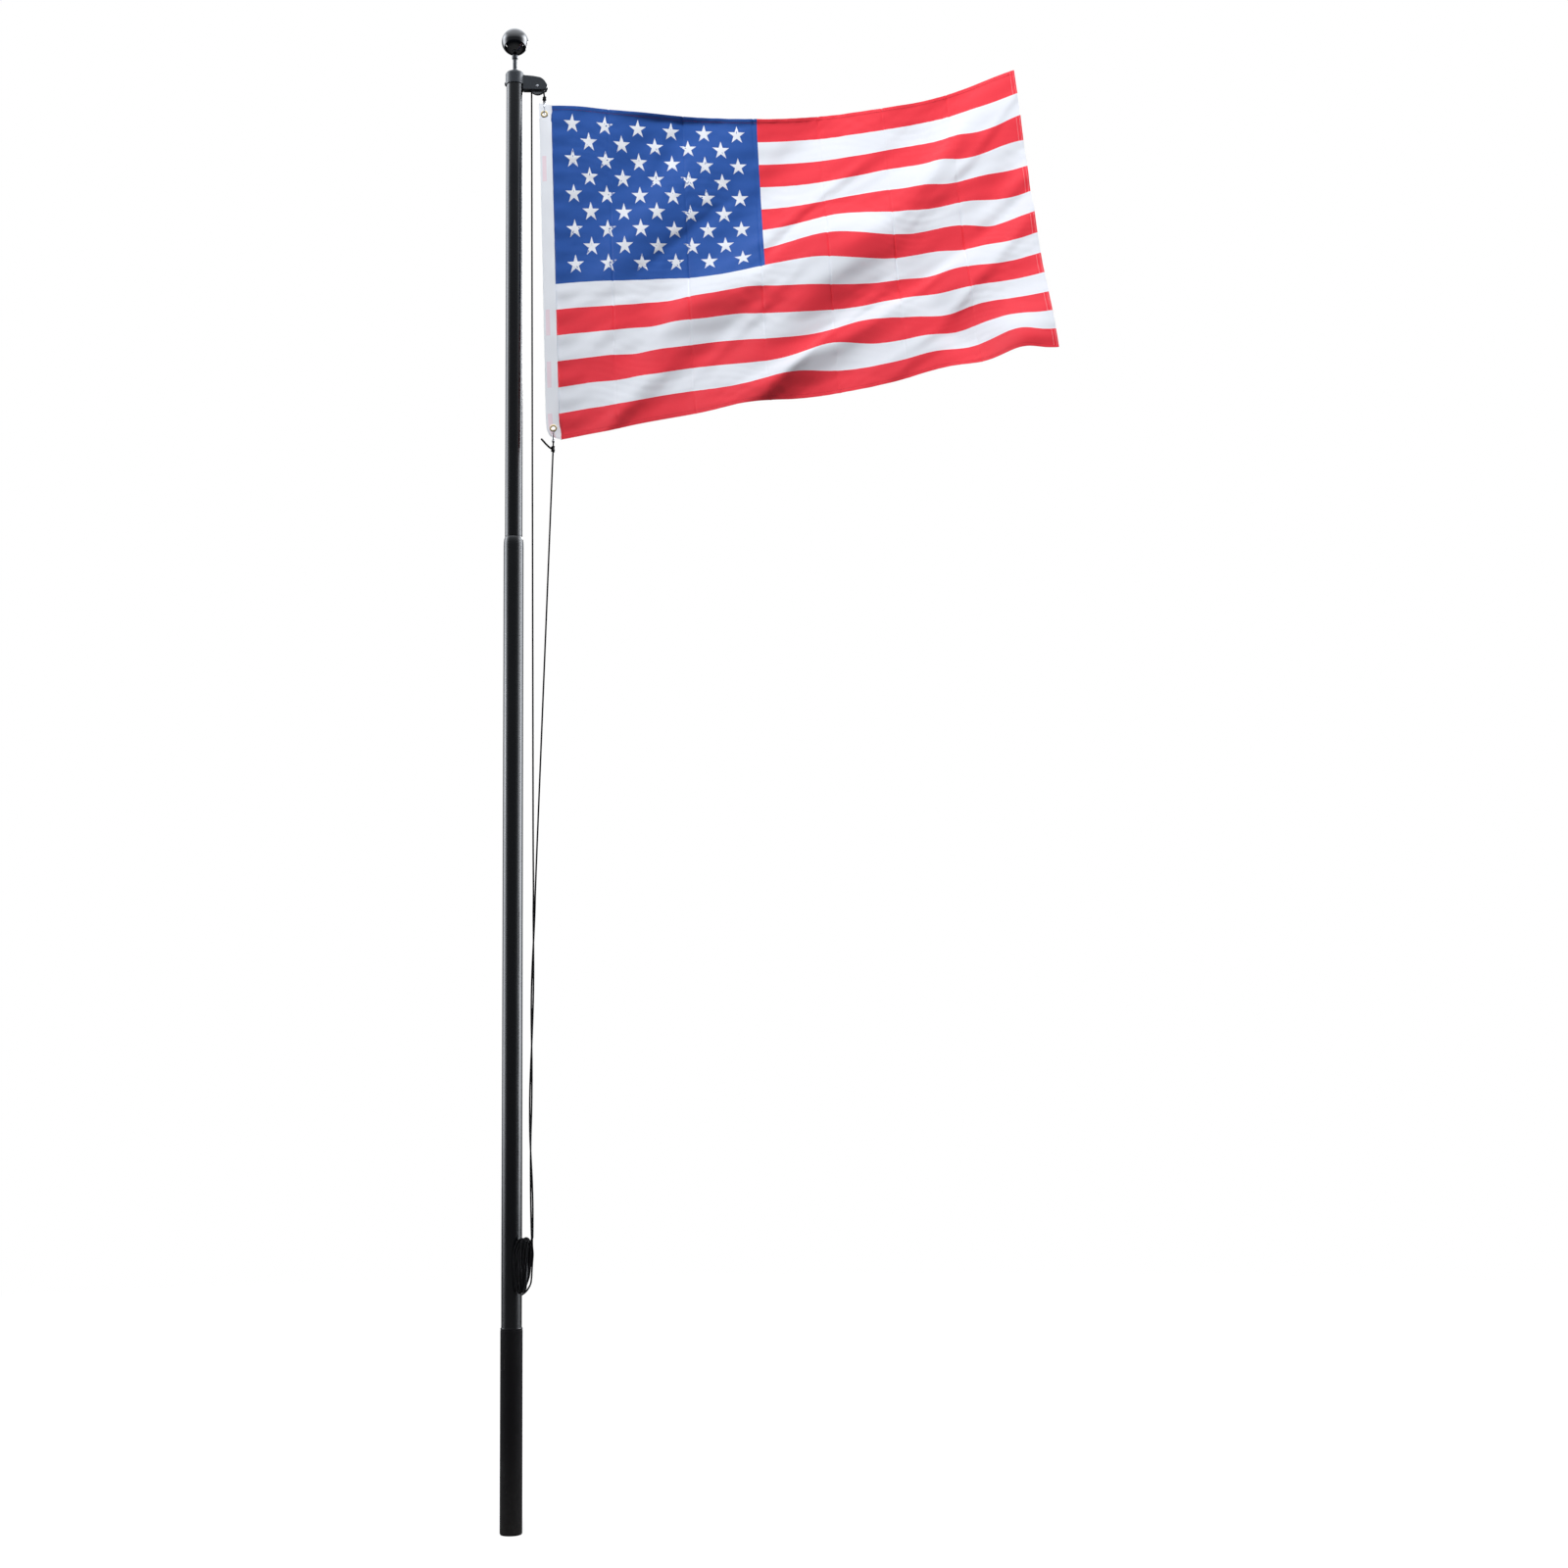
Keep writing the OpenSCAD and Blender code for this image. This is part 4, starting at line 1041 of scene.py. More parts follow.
UPPER_WIRE = UPPER_EYELET + [0, 0, EYE_REACH]
LOWER_WIRE = LOWER_EYELET - [0, 0, EYE_REACH]
knot_upper = tied_knot("rope_knot_upper", UPPER_KNOT - [0, 0, 1.5 * MM], UPPER_WIRE, 1, 3.3, 3, 8.5)
knot_lower = tied_knot("rope_knot_lower", LOWER_KNOT, LOWER_WIRE, -1, 3.2, 4, 13.5)
tail_steps = np.array([
    (-4.5, 0, 2.4), (-5.9, 0, 3), (-8.5, -1, 4.5), (-13, -2.5, 8.5), (-18, -3, 13.5), (-23, -2.5, 19.5),
    (-29, -1, 26.5),
])
tail_route = smooth_route(LOWER_KNOT + tail_steps * MM, 1.05 * MM)
tail = tube("rope_end", tail_route, 1.2 * ROPE_R, black_rope, 18, relief=braid)  # a cut end fluffs out
print("knots tied")

# %% [markdown]
# A grommet is two brass rings rolled together through the canvas, so its outline is a flat ring with round
# lips.


# %% Grommets
def grommet(name, at):
    """A brass ring whose two lips hold the canvas between them."""
    side = [
        (5.0, 0.5), (5.2, 1.35), (6.1, 1.9), (7.4, 1.95), (8.8, 1.6), (9.5, 1.15), (9.4, 1.02), (6.2, 1.02),
        (6.2, 0.5),
    ]
    outline = side + [(x, -y) for x, y in side[::-1]]
    return lathe(name, outline, grommet_brass, at=at, axis=(0, 1, 0), segments=72)


ring_upper = grommet("eyelet_upper", UPPER_EYELET)
ring_lower = grommet("eyelet_lower", LOWER_EYELET)
print("grommets at", [round(x, 3) for x in UPPER_EYELET], [round(x, 3) for x in LOWER_EYELET])

# %% [markdown]
# The flag blows towards the viewer and to the right. Its surface is a function of two shares, u from hoist
# to fly and v from top to bottom, and it starts from the frame's own function: edges of chosen heights, a
# bulge, a sag and a train of slanting folds, which are shallower here. On top of that comes what the looks
# need: billows, softer ridges, creases from its packing, small puckers and a rolled top edge. A function was
# chosen over a simulation started from a flat sheet, because the folds have to fall where they do on this
# flag.

# %% Flag surface
TOP_DROP = np.array([51, 102, 154, 188, 201, 199, 161])
BOTTOM_DROP = np.array([956, 953, 957, 971, 973, 960, 974])
HOIST_X = ([0, 0.05, 0.93, 1], [37, 35, 54.5, 62])
FLY_TOP, FLY_BOTTOM = (1208, -420), (1259, -750)
FOLD_DEPTH, FOLDS = 22, 3.6
FLAT_W, FLAT_H = 1.49, 0.905  # the field's own size when laid flat, in metres
STRIPES = 13
CANTON_U, CANTON_V = 0.438, 7 / STRIPES


def curve(values, t):
    """Smooth curve through values at equal steps."""
    n = len(values) - 1
    i = np.minimum(np.floor(t * n).astype(int), n - 1)
    f = t * n - i
    a, b = values[np.maximum(i - 1, 0)], values[i]
    c, d = values[i + 1], values[np.minimum(i + 2, n)]
    return b + f * (c - a) / 2 + f**2 * (a - 2.5 * b + 2 * c - d / 2) + f**3 * (1.5 * (b - c) + (d - a) / 2)


def eased(t):
    """A soft step from 0 to 1 while t goes from 0 to 1."""
    t = np.clip(t, 0, 1)
    return t**2 * (3 - 2 * t)


def fold(u, v):
    """The train of slanting folds, which grows from nothing at the hoist."""
    return FOLD_DEPTH * eased(u / 0.25) * np.sin(np.radians(360 * FOLDS * (u + 0.67 * v) + 40))


def crease(x, centre, width):
    """A bump of height 1 at `centre` that falls away over `width`."""
    return np.exp(-(((x - centre) / width) ** 2))


# Where the cloth was folded in its packing, as shares along the flag
PACKING = np.array([0.122, 0.28, 0.43, 0.57, 0.708, 0.852])
# Each billow: share along the flag at mid height, slant, half width, height share and reach, and how many
# millimetres it comes forward
BILLOWS = [
    (0.56, -0.55, 0.13, 0.46, 0.22, 80), (0.92, -1.05, 0.075, 0.86, 0.16, 48),
    (0.93, 0, 0.045, 0.96, 0.12, 35), (0.74, 0.22, 0.05, 0.85, 0.2, -30),
    (0.37, -0.6, 0.07, 0.64, 0.09, 24), (0.80, -0.6, 0.05, 0.25, 0.25, 16),
    (0.44, -0.4, 0.06, 0.62, 0.09, 25), (0.88, -0.9, 0.04, 0.5, 0.2, -14),
    (0.69, -0.5, 0.03, 0.22, 0.12, 12), (0.12, -0.5, 0.04, 0.3, 0.2, 9),
    (0.30, -0.5, 0.035, 0.75, 0.15, -10), (0.66, 0, 0.10, 0.36, 0.10, -22),
    (0.94, 0, 0.07, 0.45, 0.35, -22),
]
# Softer ridges that only turn the cloth to and from the light, in the same terms
RIDGES = [
    (0.63, -0.75, 0.055, 0.60, 0.34, 16), (0.47, -0.75, 0.03, 0.95, 0.16, 9),
    (0.86, -0.8, 0.028, 0.28, 0.22, 14), (0.24, -0.7, 0.03, 0.82, 0.2, 8),
    (0.10, -0.5, 0.025, 0.72, 0.14, 9), (0.55, -0.7, 0.02, 0.72, 0.2, 8),
    (0.97, -0.6, 0.02, 0.62, 0.25, 8), (0.28, -0.5, 0.03, 0.25, 0.2, 9),
    (0.09, -0.35, 0.018, 0.12, 0.12, 7), (0.37, -0.9, 0.025, 0.33, 0.2, 9),
    (0.19, -0.8, 0.022, 0.40, 0.16, -7), (0.78, -0.75, 0.022, 0.80, 0.2, 10),
    (0.70, -0.7, 0.018, 0.18, 0.18, 7), (0.44, -0.6, 0.02, 0.46, 0.14, -8),
    (0.90, -0.9, 0.02, 0.66, 0.14, 9),
]


def swell(u, v, moves):
    """How far the cloth stands out, in millimetres."""
    out = 0.0 * u
    for at, slant, half, mid, reach, size in moves:
        out = out + size * crease(u - slant * (v - 0.5), at, half) * crease(v, mid, reach)
    return out * eased(u / 0.12)


def cloth_base(u, v):
    """The frame's flag surface with shallower folds and with billows, in millimetres from the sheave pin."""
    hoist = np.interp(v, *HOIST_X)
    fly_x = FLY_TOP[0] + (FLY_BOTTOM[0] - FLY_TOP[0]) * v
    fly_y = FLY_TOP[1] + (FLY_BOTTOM[1] - FLY_TOP[1]) * v
    x = hoist + (fly_x - hoist) * u + 28 * np.sin(np.pi * u)
    soft_fold, belly = 0.4 * fold(u, v), swell(u, v, BILLOWS)
    y = fly_y * u + soft_fold - 0.8 * belly
    top, bottom = curve(TOP_DROP, u), curve(BOTTOM_DROP, u)
    z = -(top + (bottom - top) * v) - 40 * u * np.sin(np.pi * v)
    z += 0.38 * soft_fold + 0.28 * belly
    return np.stack([x, y, z], -1)


def cloth_surface(u, v):
    """The finished cloth, in metres in the frame."""
    p = cloth_base(u, v)
    pack = sum(crease(u, c, 0.002) for c in PACKING)
    level = crease(v, 0.585, 0.008) * (u < 0.45) + crease(v, 0.3, 0.006) * 0.5
    p[..., 1] += 3.2 * pack * (0.6 + 0.4 * np.sin(9 * v + 3)) + 1.2 * level
    pucker = np.sin(34 * np.pi * v + 2 * np.sin(5 * v)) * crease(u, 0, 0.05)
    patches = eased(0.5 + 0.5 * np.sin(9 * u + 13 * v + 2) * np.sin(17 * u - 6 * v + 1))
    wrinkle = np.sin(95 * v + 38 * u + 4 * np.sin(9 * u)) * patches
    wrinkle += 0.7 * np.sin(52 * v - 47 * u) * (1 - patches)
    crumple = np.sin(170 * v + 60 * u + 5 * np.sin(23 * u)) * np.sin(120 * u - 40 * v + 4 * np.sin(19 * v))
    p[..., 1] += 1.3 * pucker + (1.0 * wrinkle + 1.1 * crumple * (1 - patches)) * eased(u / 0.05)
    panels = np.interp(u, [0, *PACKING, 1], [0, 6, -3, 6, -4, 6, -3, 3]) * (0.6 + 0.4 * np.cos(7 * v + 1))
    out = swell(u, v, RIDGES) + panels
    p[..., 1] -= out
    p[..., 2] -= 0.4 * out
    roll = crease(v, 0, 0.014) * crease(u, 0.30, 0.2)
    p[..., 1] -= 14 * roll
    p[..., 2] -= 4 * roll
    return PIN + p * MM


print("flag corner at", [round(x, 3) for x in cloth_surface(np.array(1.0), np.array(0.0))])

# %% Flag field
beside = np.array([-9, -6, -4, -2.5, -1.2, 0, 1.2, 2.5, 4, 6, 9]) * MM / FLAT_W
near_creases = np.add.outer(PACKING, beside).ravel()  # closer columns, as a packing crease is narrow
us = np.unique(np.concatenate([np.linspace(0, CANTON_U, 70), np.linspace(CANTON_U, 1, 88), near_creases]))
vs = np.linspace(0, 1, STRIPES * 10 + 1)
U, V = np.meshgrid(us, vs)


def dye(thing, u, v):
    """Gives a grid on the cloth its three materials, by the middles of its faces."""
    for material in (flag_red, flag_white, flag_blue):
        thing.data.materials.append(material)
    middle_u, middle_v = (u[1:, 1:] + u[:-1, :-1]) / 2, (v[1:, 1:] + v[:-1, :-1]) / 2
    index = np.floor(np.clip(middle_v, 0, 0.9999) * STRIPES).astype(int) % 2
    index[(middle_v < CANTON_V) & (middle_u < CANTON_U)] = 2
    thing.data.polygons.foreach_set("material_index", index.ravel().astype(np.int32))


flag = grid_object("flag", cloth_surface(U, V), None, us=us * FLAT_W, vs=vs * FLAT_H)
dye(flag, U, V)
thick = flag.modifiers.new("thickness", "SOLIDIFY")
thick.thickness = 0.5 * MM
thick.offset = 0
applied(flag)
print("flag field", len(flag.data.polygons), "faces")


# %% [markdown]
# Stars, hems and stitches all sit on the cloth. They are placed by their own u and v and lifted along the
# surface's normal, so they follow every fold. A star is a pad with a raised middle, on both faces of the
# cloth.


# %% Placing things on the cloth
def on_cloth(u, v, lift):
    """Points at shares u, v, `lift` metres above the cloth's front (or behind it where negative)."""
    u, v = np.asarray(u, float), np.asarray(v, float)
    d = 1e-3
    p = cloth_surface(u, v)
    du = cloth_surface(np.clip(u + d, 0, 1), v) - cloth_surface(np.clip(u - d, 0, 1), v)
    dv = cloth_surface(u, np.clip(v + d, 0, 1)) - cloth_surface(u, np.clip(v - d, 0, 1))
    normal = np.cross(dv, du)
    normal /= np.linalg.norm(normal, axis=-1)[..., None]
    normal *= np.where(normal[..., 1:2] > 0, -1, 1)
    return p + normal * np.asarray(lift)[..., None]


def lay_uv(mesh, uv):
    """Gives every face corner the UV of its own point."""
    layer = mesh.uv_layers.new(name="UVMap")
    order = np.zeros(len(mesh.loops), int)
    mesh.loops.foreach_get("vertex_index", order)
    layer.data.foreach_set("uv", np.asarray(uv)[order].ravel())


def mesh_object(name, points, faces, material, uv=None):
    """A piece from its points and faces, with a UV for each point if given."""
    mesh = bpy.data.meshes.new(name)
    mesh.from_pydata([tuple(p) for p in points], [], faces)
    if uv is not None:
        lay_uv(mesh, uv)
    return finish_object(name, mesh, material)


print("the cloth's middle is at", [round(x, 3) for x in on_cloth(0.5, 0.5, 0.0)])

# %% Stars
star_points, star_faces, star_uv = [], [], []
columns = [(0.103 + 0.0797 * i) * CANTON_U for i in range(11)]
row_heights = [(j + 1) / 10 * CANTON_V for j in range(9)]
STAR_R = 0.028
outline = []
for k in range(10):
    r = STAR_R if k % 2 == 0 else STAR_R * 0.382
    outline.append((r * math.sin(math.pi * k / 5), -r * math.cos(math.pi * k / 5)))
outline = np.array(outline)
dense = []
for k in range(10):
    a, b = outline[k], outline[(k + 1) % 10]
    dense += [a + (b - a) * t for t in (0, 1 / 3, 2 / 3)]
dense = np.array(dense)
RIM = len(dense)
STAR_RINGS = [(1.0, 0.26), (0.98, 0.42), (0.55, 0.48)]  # share of the star's size, and lift in millimetres
STAR_PEAK = 0.5
count = 0
for j, cv in enumerate(row_heights):
    for i, cu in enumerate(columns):
        if (i + j) % 2:
            continue
        count += 1
        for face_side in (1, -1):
            base = len(star_points)
            for scale, lift in STAR_RINGS:
                du, dv = cu + dense[:, 0] * scale / FLAT_W, cv + dense[:, 1] * scale / FLAT_H
                star_points += list(on_cloth(du, dv, np.full(RIM, face_side * lift * MM)))
                star_uv += list(np.stack([du * FLAT_W, dv * FLAT_H], 1))
            star_points += list(on_cloth([cu], [cv], [face_side * STAR_PEAK * MM]))
            star_uv.append((cu * FLAT_W, cv * FLAT_H))
            inner = base + (len(STAR_RINGS) - 1) * RIM
            for ring in range(base, inner, RIM):
                for k in range(RIM):
                    a, b = ring + k, ring + (k + 1) % RIM
                    star_faces.append((a, b, b + RIM, a + RIM)[::face_side])
            for k in range(RIM):
                star_faces.append((inner + k, inner + (k + 1) % RIM, inner + RIM)[::face_side])
stars = mesh_object("stars", star_points, star_faces, star_thread, star_uv)
print("stars:", count)


# %% [markdown]
# The cloth's edges are folded over and sewn. Each hem is a band about a centimetre and a half wide on both
# faces, and its stitches are short arches of thread that rise out of the cloth and dip back into it.


# %% Hems
def hem_band(name, along, inner, outer, lift=0.55):
    """A folded band between two edges: along gives n places, inner and outer map a place to (u, v)."""
    across = np.linspace(0, 1, 5)
    rise = np.array([0.25, lift, lift, lift, 0.25]) * MM
    parts = []
    for face_side in (1, -1):
        iu, iv = inner(along)
        ou, ov = outer(along)
        u = iu[:, None] + (ou - iu)[:, None] * across
        v = iv[:, None] + (ov - iv)[:, None] * across
        points = on_cloth(u, v, np.tile(face_side * rise, (len(along), 1)))
        band = grid_object(name, points, None)
        lay_uv(band.data, np.stack([u.ravel() * FLAT_W, v.ravel() * FLAT_H], 1))
        dye(band, u, v)
        parts.append(band)
    return joined(name, parts)


HEM_V, HEM_U = 0.013 / FLAT_H, 0.016 / FLAT_W
hem_top = hem_band("hem_top", us, lambda u: (u, u * 0 + HEM_V), lambda u: (u, u * 0))
hem_bottom = hem_band("hem_bottom", us, lambda u: (u, u * 0 + 1 - HEM_V), lambda u: (u, u * 0 + 1))
hem_fly = hem_band("hem_fly", vs, lambda v: (v * 0 + 1 - HEM_U, v), lambda v: (v * 0 + 1, v))
print("hems: 3")


# %% Stitches
def stitches(name, u, v, spacing, material, radius=0.22 * MM, sink=0.6):
    """A row of stitches on both faces along a line of (u, v) places."""
    line = on_cloth(u, v, np.zeros(len(u)))
    run = np.concatenate([[0], np.cumsum(np.linalg.norm(np.diff(line, axis=0), axis=1))])
    number = int(run[-1] / spacing)
    sides, rings = 5, 5
    points, faces = [], []
    arch = np.array([-0.2, 0.75, 1.0, 0.75, -0.2]) * 0.28 * MM + sink * MM
    shares = np.array([-0.36, -0.3, 0, 0.3, 0.36])
    ends = np.array([0.3, 1, 1, 1, 0.3])
    turn = np.arange(sides) * 2 * math.pi / sides
    centre = (np.arange(number) + 0.5) * spacing
    at = (centre[:, None] + shares * spacing)
    su, sv = np.interp(at, run, u), np.interp(at, run, v)
    for face_side in (1, -1):
        middle = on_cloth(su, sv, np.tile(face_side * arch, (number, 1)))
        above = on_cloth(su, sv, np.tile(face_side * arch + 1e-4, (number, 1))) - middle
        above /= np.linalg.norm(above, axis=-1)[..., None]
        ahead = np.gradient(middle, axis=1)
        ahead /= np.linalg.norm(ahead, axis=-1)[..., None]
        side = np.cross(ahead, above)
        cosine, sine = np.cos(turn)[:, None], np.sin(turn)[:, None]
        ring = side[:, :, None] * cosine + above[:, :, None] * sine
        body = middle[:, :, None] + radius * ends[None, :, None, None] * ring
        base = len(points)
        points += body.reshape(-1, 3).tolist()
        for n in range(number):
            b = base + n * sides * rings
            for r in range(rings - 1):
                for k in range(sides):
                    a, c = b + r * sides + k, b + r * sides + (k + 1) % sides
                    faces.append((a, c, c + sides, a + sides))
            faces.append(tuple(b + k for k in range(sides - 1, -1, -1)))
            faces.append(tuple(b + (rings - 1) * sides + k for k in range(sides)))
    return mesh_object(name, points, faces, material)


full_u, full_v = np.linspace(0.002, 0.998, 300), np.linspace(0.002, 0.998, 220)
sewn = [
    stitches("stitch_top", full_u, full_u * 0 + HEM_V * 0.82, 5 * MM, red_thread),
    stitches("stitch_bottom", full_u, full_u * 0 + 1 - HEM_V * 0.82, 5 * MM, red_thread),
    stitches("stitch_fly_inner", full_v * 0 + 1 - HEM_U * 0.85, full_v, 5 * MM, white_thread),
    stitches("stitch_fly_outer", full_v * 0 + 1 - HEM_U * 0.25, full_v, 5 * MM, white_thread),
]
print("stitched lines:", len(sewn))

# %% [markdown]
# The heading is a doubled strip of canvas that takes the pull of the halyard. It carries the two grommets,
# and its lower corner is drawn in towards the cloth. Faint pink patches lie on it beside some red stripes, as
# if red cloth showed through from inside. They are a second material on some of its faces.

# %% Heading
LEFT_X = ([0, 0.93, 0.965, 0.985, 1], [3.5, 21.5, 24, 30, 36])
LEFT_Z = ([0, 0.06, 0.93, 0.965, 0.985, 1], [-43, -103, -892, -926, -941, -947])


def heading_surface(share, v):
    """share runs from the rope side to the cloth side."""
    right_x = np.interp(v, *HOIST_X)
    right_z = -(51 + 905 * v)
    left_x, left_z = np.interp(v, *LEFT_X), np.interp(v, *LEFT_Z)
    x = left_x + (right_x + 1.5 - left_x) * share
    z = left_z + (right_z - left_z) * share
    turned = 9 * (0.5 - share) * (1 - crease(v, 0.03, 0.05) - crease(v, 0.97, 0.05))
    y = turned + 0.9 * np.sin(17 * v + 1.5 * share) * np.sin(np.pi * v) + 0.5 * np.sin(60 * v) * share
    return PIN + np.stack([x, y, z], -1) * MM


shares = np.linspace(0, 1, 19)
heading_v = np.linspace(0, 1, 261)
S, HV = np.meshgrid(shares, heading_v)
front = heading_surface(S, HV)
rim = 1.0 * MM * np.minimum(1, np.minimum(S, 1 - S) * 14 + 0.35)
front_side, back_side = front.copy(), front.copy()
front_side[..., 1] -= rim
back_side[..., 1] += rim
shell = np.concatenate([front_side, back_side[:, ::-1]], 1)
rows, around = len(heading_v) - 1, shell.shape[1]
heading = grid_object(
    "heading", shell, heading_canvas, wrap=True, us=np.linspace(0, 0.076, around + 1), vs=heading_v * FLAT_H
)
close_ends(heading, *shell.shape[:2])
heading.data.materials.append(under_red)
for n, polygon in enumerate(heading.data.polygons[: rows * around]):
    row, col = divmod(n, around)
    share = min(col, around - 1 - col) / (len(shares) - 1)
    stripe = int((row + 0.5) / rows * STRIPES)
    if stripe in (2, 8, 10, 12) and 0.12 < share < 0.5:
        polygon.material_index = 1
heading = cut(heading, *[
    lathe("punch", [(0, -5), (6.3, -5), (6.3, 5), (0, 5)], None, at=at, axis=(0, 1, 0), segments=48)
    for at in (UPPER_EYELET, LOWER_EYELET)
])
heading.data.shade_smooth()
heading.data.set_sharp_from_angle(angle=math.radians(45))
print("heading", len(heading.data.polygons), "faces")

# %% [markdown]
# Every piece but the top strand and the fall now rides on a body. All but the stars, hems and stitches stand
# for a node of the frame. The two strands that go with the flag run between the pole and the flag, and stay
# where they were made. The spare rope stays wound on the cleat.

# %% Bodies
on_pole = {
    "ground_sleeve": sleeve, "lower_tube": lower_pole, "upper_tube": upper_pole, "truck_housing": truck,
    "truck_set_screw": set_screw, "sheave_pin": sheave_pin, "finial_nut": nut, "finial_foot_ring": foot_ring,
    "finial_stem": stem, "finial_neck": neck, "finial_ball": ball, "cleat": cleat,
    "cleat_screw_upper": screw_upper, "cleat_screw_lower": screw_lower,
    "halyard_standing": rope_standing, "halyard_hank": hank,
}
on_flag = {
    "upper_knot": knot_upper, "lower_knot": knot_lower, "rope_tail": tail,
    "snap_hook_upper": hook_upper, "snap_hook_lower": hook_lower,
    "swivel_eye_upper": eye_upper, "swivel_eye_lower": eye_lower,
    "grommet_upper": ring_upper, "grommet_lower": ring_lower, "flag_heading": heading, "flag_field": flag,
}
for body, pieces in (("pole", on_pole), ("sheave", {"sheave": sheave}), ("flag", on_flag)):
    for node, piece in pieces.items():
        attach(piece, body)
        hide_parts(node)
for piece in (stars, hem_top, hem_bottom, hem_fly, *sewn):
    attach(piece, "flag")
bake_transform(rope_top)
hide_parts("halyard_upper_strand")
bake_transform(rope_fall)
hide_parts("halyard_right_fall")
print("pieces:", len(on_pole) + len(on_flag) + 3 + 4 + len(sewn))

# %% [markdown]
# The stage is a pale floor and plain light. The sky is white where it is seen directly. What gloss mirrors is
# a sky of its own, as in a studio: dark below a sharp horizon, bright overhead, with a tall soft band of
# light at each side. The bands draw the long highlights down the tubes, and black gloss needs the dark
# between them.

# %% Floor
floor_material = bpy.data.materials.new("pale floor")
floor_material.use_nodes = True
tree = floor_material.node_tree
tree.nodes.clear()
seen = tree.nodes.new("ShaderNodeLightPath")
place = tree.nodes.new("ShaderNodeTexCoord")
reach = add(tree, "VectorMath", {0: place.outputs["Object"]}, operation="LENGTH").outputs["Value"]
far = add(tree, "MapRange", {"Value": reach, "From Min": 3.0, "From Max": 9.0}).outputs[0]
pale = add(tree, "Mix", {"Factor": far, "A": (0.45, 0.45, 0.45, 1), "B": (0, 0, 0, 1)}, data_type="RGBA")
paint = add(tree, "BsdfDiffuse", {"Color": pale.outputs["Result"]})
glow = add(tree, "MapRange", {
    "Value": reach, "From Min": 1.5, "From Max": 5.0, "To Min": 0.78, "To Max": 1.0,
}).outputs[0]
glow = calc(tree, "MULTIPLY", seen.outputs["Is Camera Ray"], glow)
glow = add(tree, "Emission", {"Color": (1, 1, 1, 1), "Strength": glow})
both = add(tree, "AddShader", {0: paint.outputs[0], 1: glow.outputs[0]})
out = tree.nodes.new("ShaderNodeOutputMaterial")
tree.links.new(both.outputs[0], out.inputs[0])
floor_mesh = bpy.data.meshes.new("floor")
s = 30  # half the floor's width
floor_mesh.from_pydata([(-s, -s, 0), (s, -s, 0), (s, s, 0), (-s, s, 0)], [], [(0, 1, 2, 3)])
floor_mesh.materials.append(floor_material)
floor = bpy.data.objects.new("floor", floor_mesh)
scene.collection.objects.link(floor)
print("floor", 2 * s, "m across")

# %% World
world = bpy.data.worlds.new("studio")
scene.world = world
world.use_nodes = True
tree = world.node_tree
tree.nodes.clear()
seen = tree.nodes.new("ShaderNodeLightPath")
direction = add(tree, "SeparateXYZ", {0: tree.nodes.new("ShaderNodeTexCoord").outputs["Generated"]}).outputs


def band(middle, half, toward, brightness):
    """A bright upright band of sky at one side, for the long highlights on the tubes."""
    off = calc(tree, "DIVIDE", calc(tree, "SUBTRACT", direction[1], middle), half)
    bell = calc(tree, "POWER", math.e, calc(tree, "MULTIPLY", calc(tree, "MULTIPLY", off, off), -1.0))
    side = add(tree, "MapRange", {"Value": direction[0], "From Max": toward})
    top = add(tree, "MapRange", {"Value": direction[2], "From Min": 0.75, "From Max": 0.5})
    foot = add(tree, "MapRange", {"Value": direction[2], "From Min": -0.2, "From Max": -0.1})
    shape = calc(tree, "MULTIPLY", calc(tree, "MULTIPLY", bell, side.outputs[0]), top.outputs[0])
    behind = add(tree, "MapRange", {
        "Value": direction[1], "From Min": 0.4, "From Max": 0.8, "To Min": 1.0, "To Max": 0.05,
    })
    shape = calc(tree, "MULTIPLY", shape, calc(tree, "MULTIPLY", foot.outputs[0], behind.outputs[0]))
    return calc(tree, "MULTIPLY", shape, brightness)


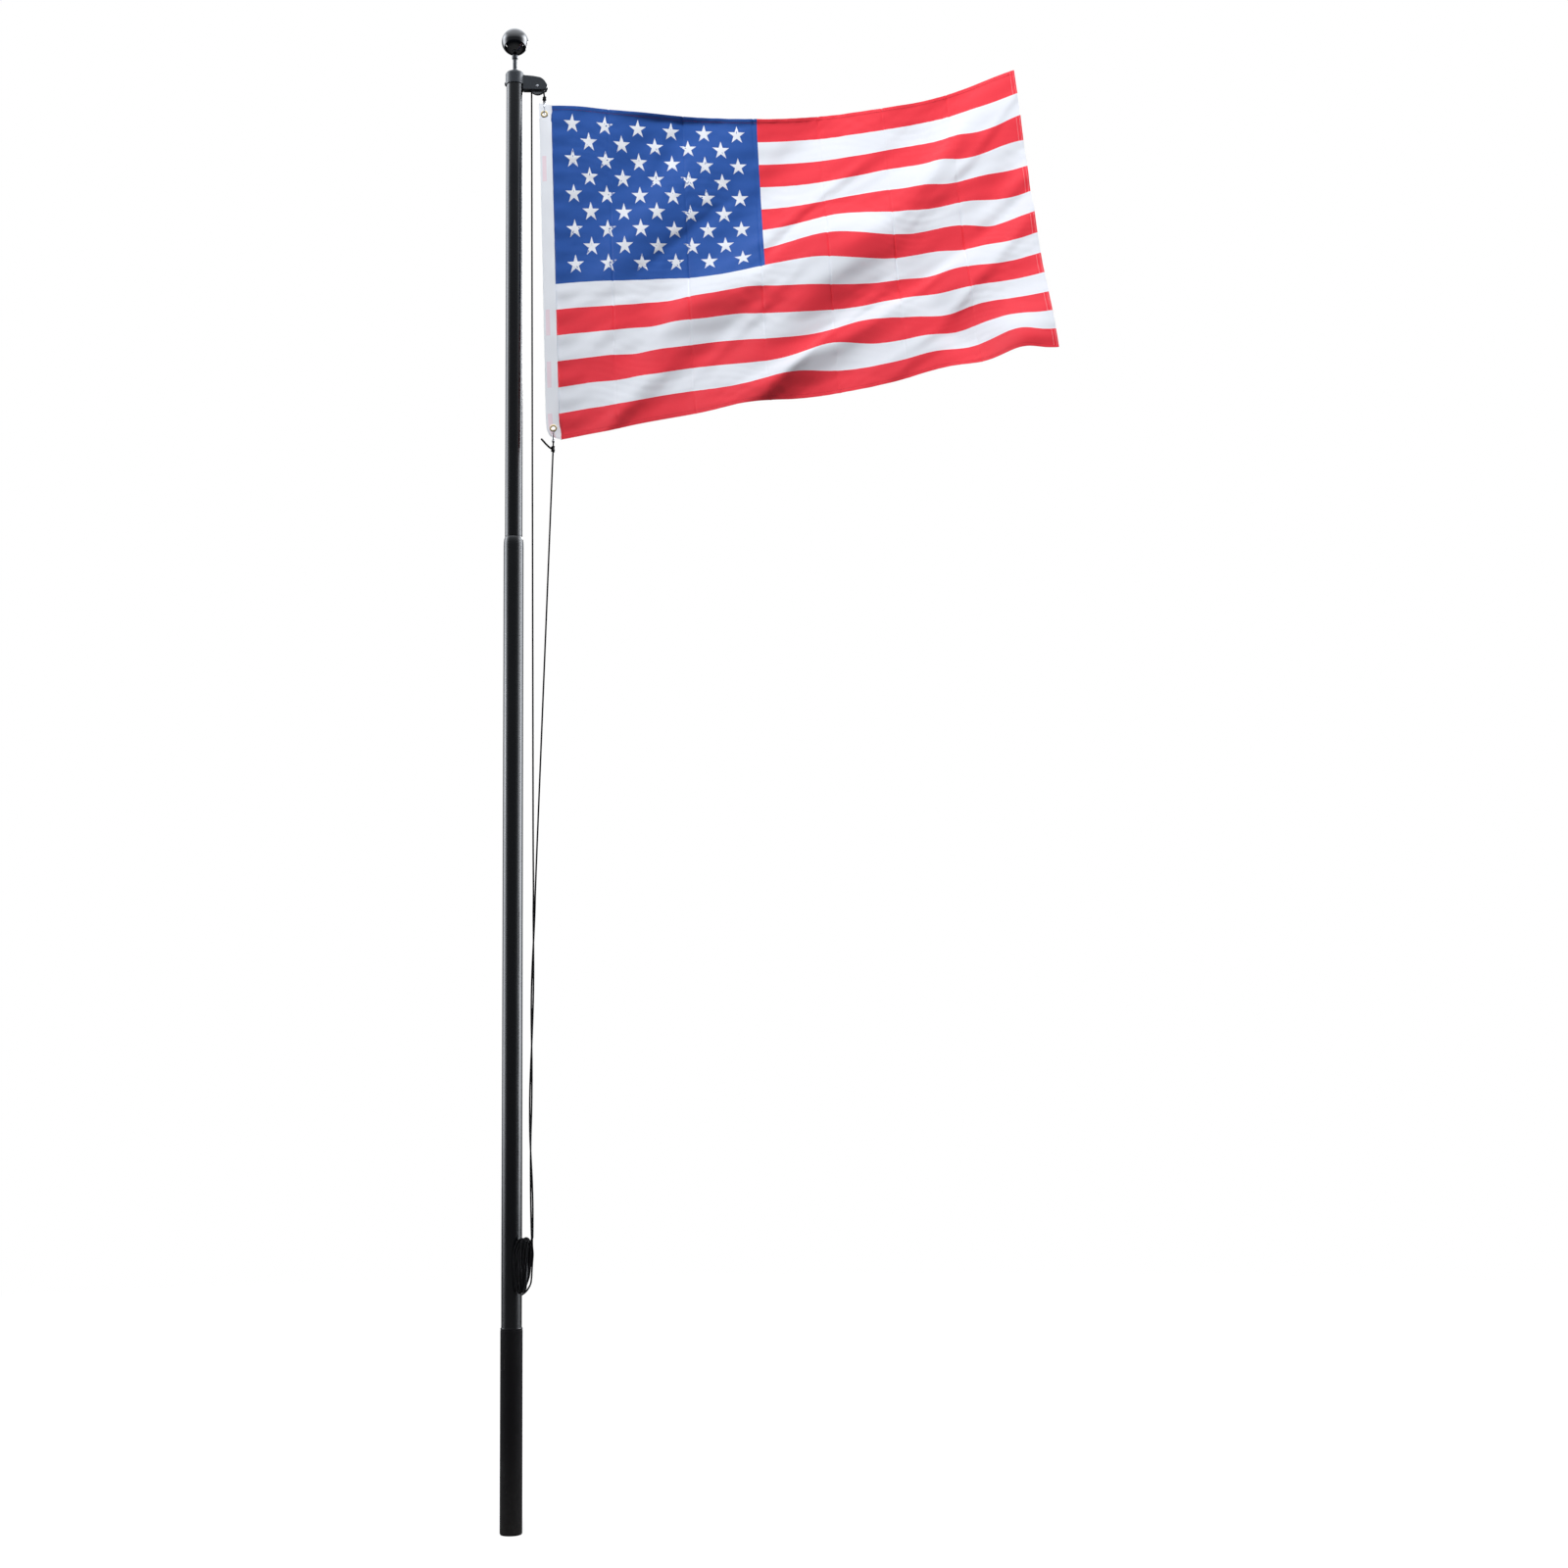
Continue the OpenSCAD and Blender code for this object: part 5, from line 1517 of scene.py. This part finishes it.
horizon = add(tree, "MapRange", {
    "Value": direction[2], "From Min": -0.04, "From Max": 0.01, "To Min": 0.03, "To Max": 0.26,
})
zenith = add(tree, "MapRange", {"Value": direction[2], "From Min": 0.35, "From Max": 0.9, "To Max": 2.6})
shown = calc(tree, "ADD", horizon.outputs[0], zenith.outputs[0])
shown = calc(tree, "ADD", shown, band(0.22, 0.42, 0.5, 15.0))
shown = calc(tree, "ADD", shown, band(0.15, 0.36, -0.5, 9.5))
mirrored = calc(tree, "MAXIMUM", seen.outputs["Is Glossy Ray"], seen.outputs["Is Transmission Ray"])
AMBIENT = 0.25
lit = add(tree, "Mix", {"Factor": mirrored, "A": AMBIENT, "B": shown}, data_type="FLOAT")
strength = add(
    tree, "Mix", {"Factor": seen.outputs["Is Camera Ray"], "A": lit.outputs["Result"], "B": 1.0},
    data_type="FLOAT",
)
sky = add(tree, "Background", {"Color": (0.90, 0.94, 1.0, 1), "Strength": strength.outputs["Result"]})
white = add(tree, "Background", {"Color": (1, 1, 1, 1), "Strength": 1.0})
choice = add(tree, "MixShader", {0: seen.outputs["Is Camera Ray"], 1: sky.outputs[0], 2: white.outputs[0]})
out = tree.nodes.new("ShaderNodeOutputWorld")
tree.links.new(choice.outputs[0], out.inputs[0])
print("world ambient", AMBIENT)


# %% Lamps
def soft_lamp(name, at, target, size, watts):
    """A rectangular area lamp aimed at a target."""
    data = bpy.data.lights.new(name, "AREA")
    data.shape = "RECTANGLE"
    data.size, data.size_y = size
    data.energy = watts
    lamp = bpy.data.objects.new(name, data)
    lamp.location = at
    lamp.rotation_euler = (Vector(target) - Vector(at)).to_track_quat("-Z", "Y").to_euler()
    scene.collection.objects.link(lamp)
    return lamp


key = soft_lamp("key", (-0.4, -3.5, 7.2), (0.6, -0.2, 3.0), (1.0, 1.0), 268)
key.visible_glossy = False
soft_lamp("back", (2.2, 4.6, 5.2), (0.6, -0.2, 2.8), (1.6, 1.6), 170)
soft_lamp("left glint", (-3.2, 0.2, 2.5), (0, 0, 3.6), (0.5, 0.9), 14)
soft_lamp("right glint", (3.2, 0.2, 2.5), (0, 0, 3.6), (0.35, 0.5), 6)
scene.view_settings.view_transform = "Standard"
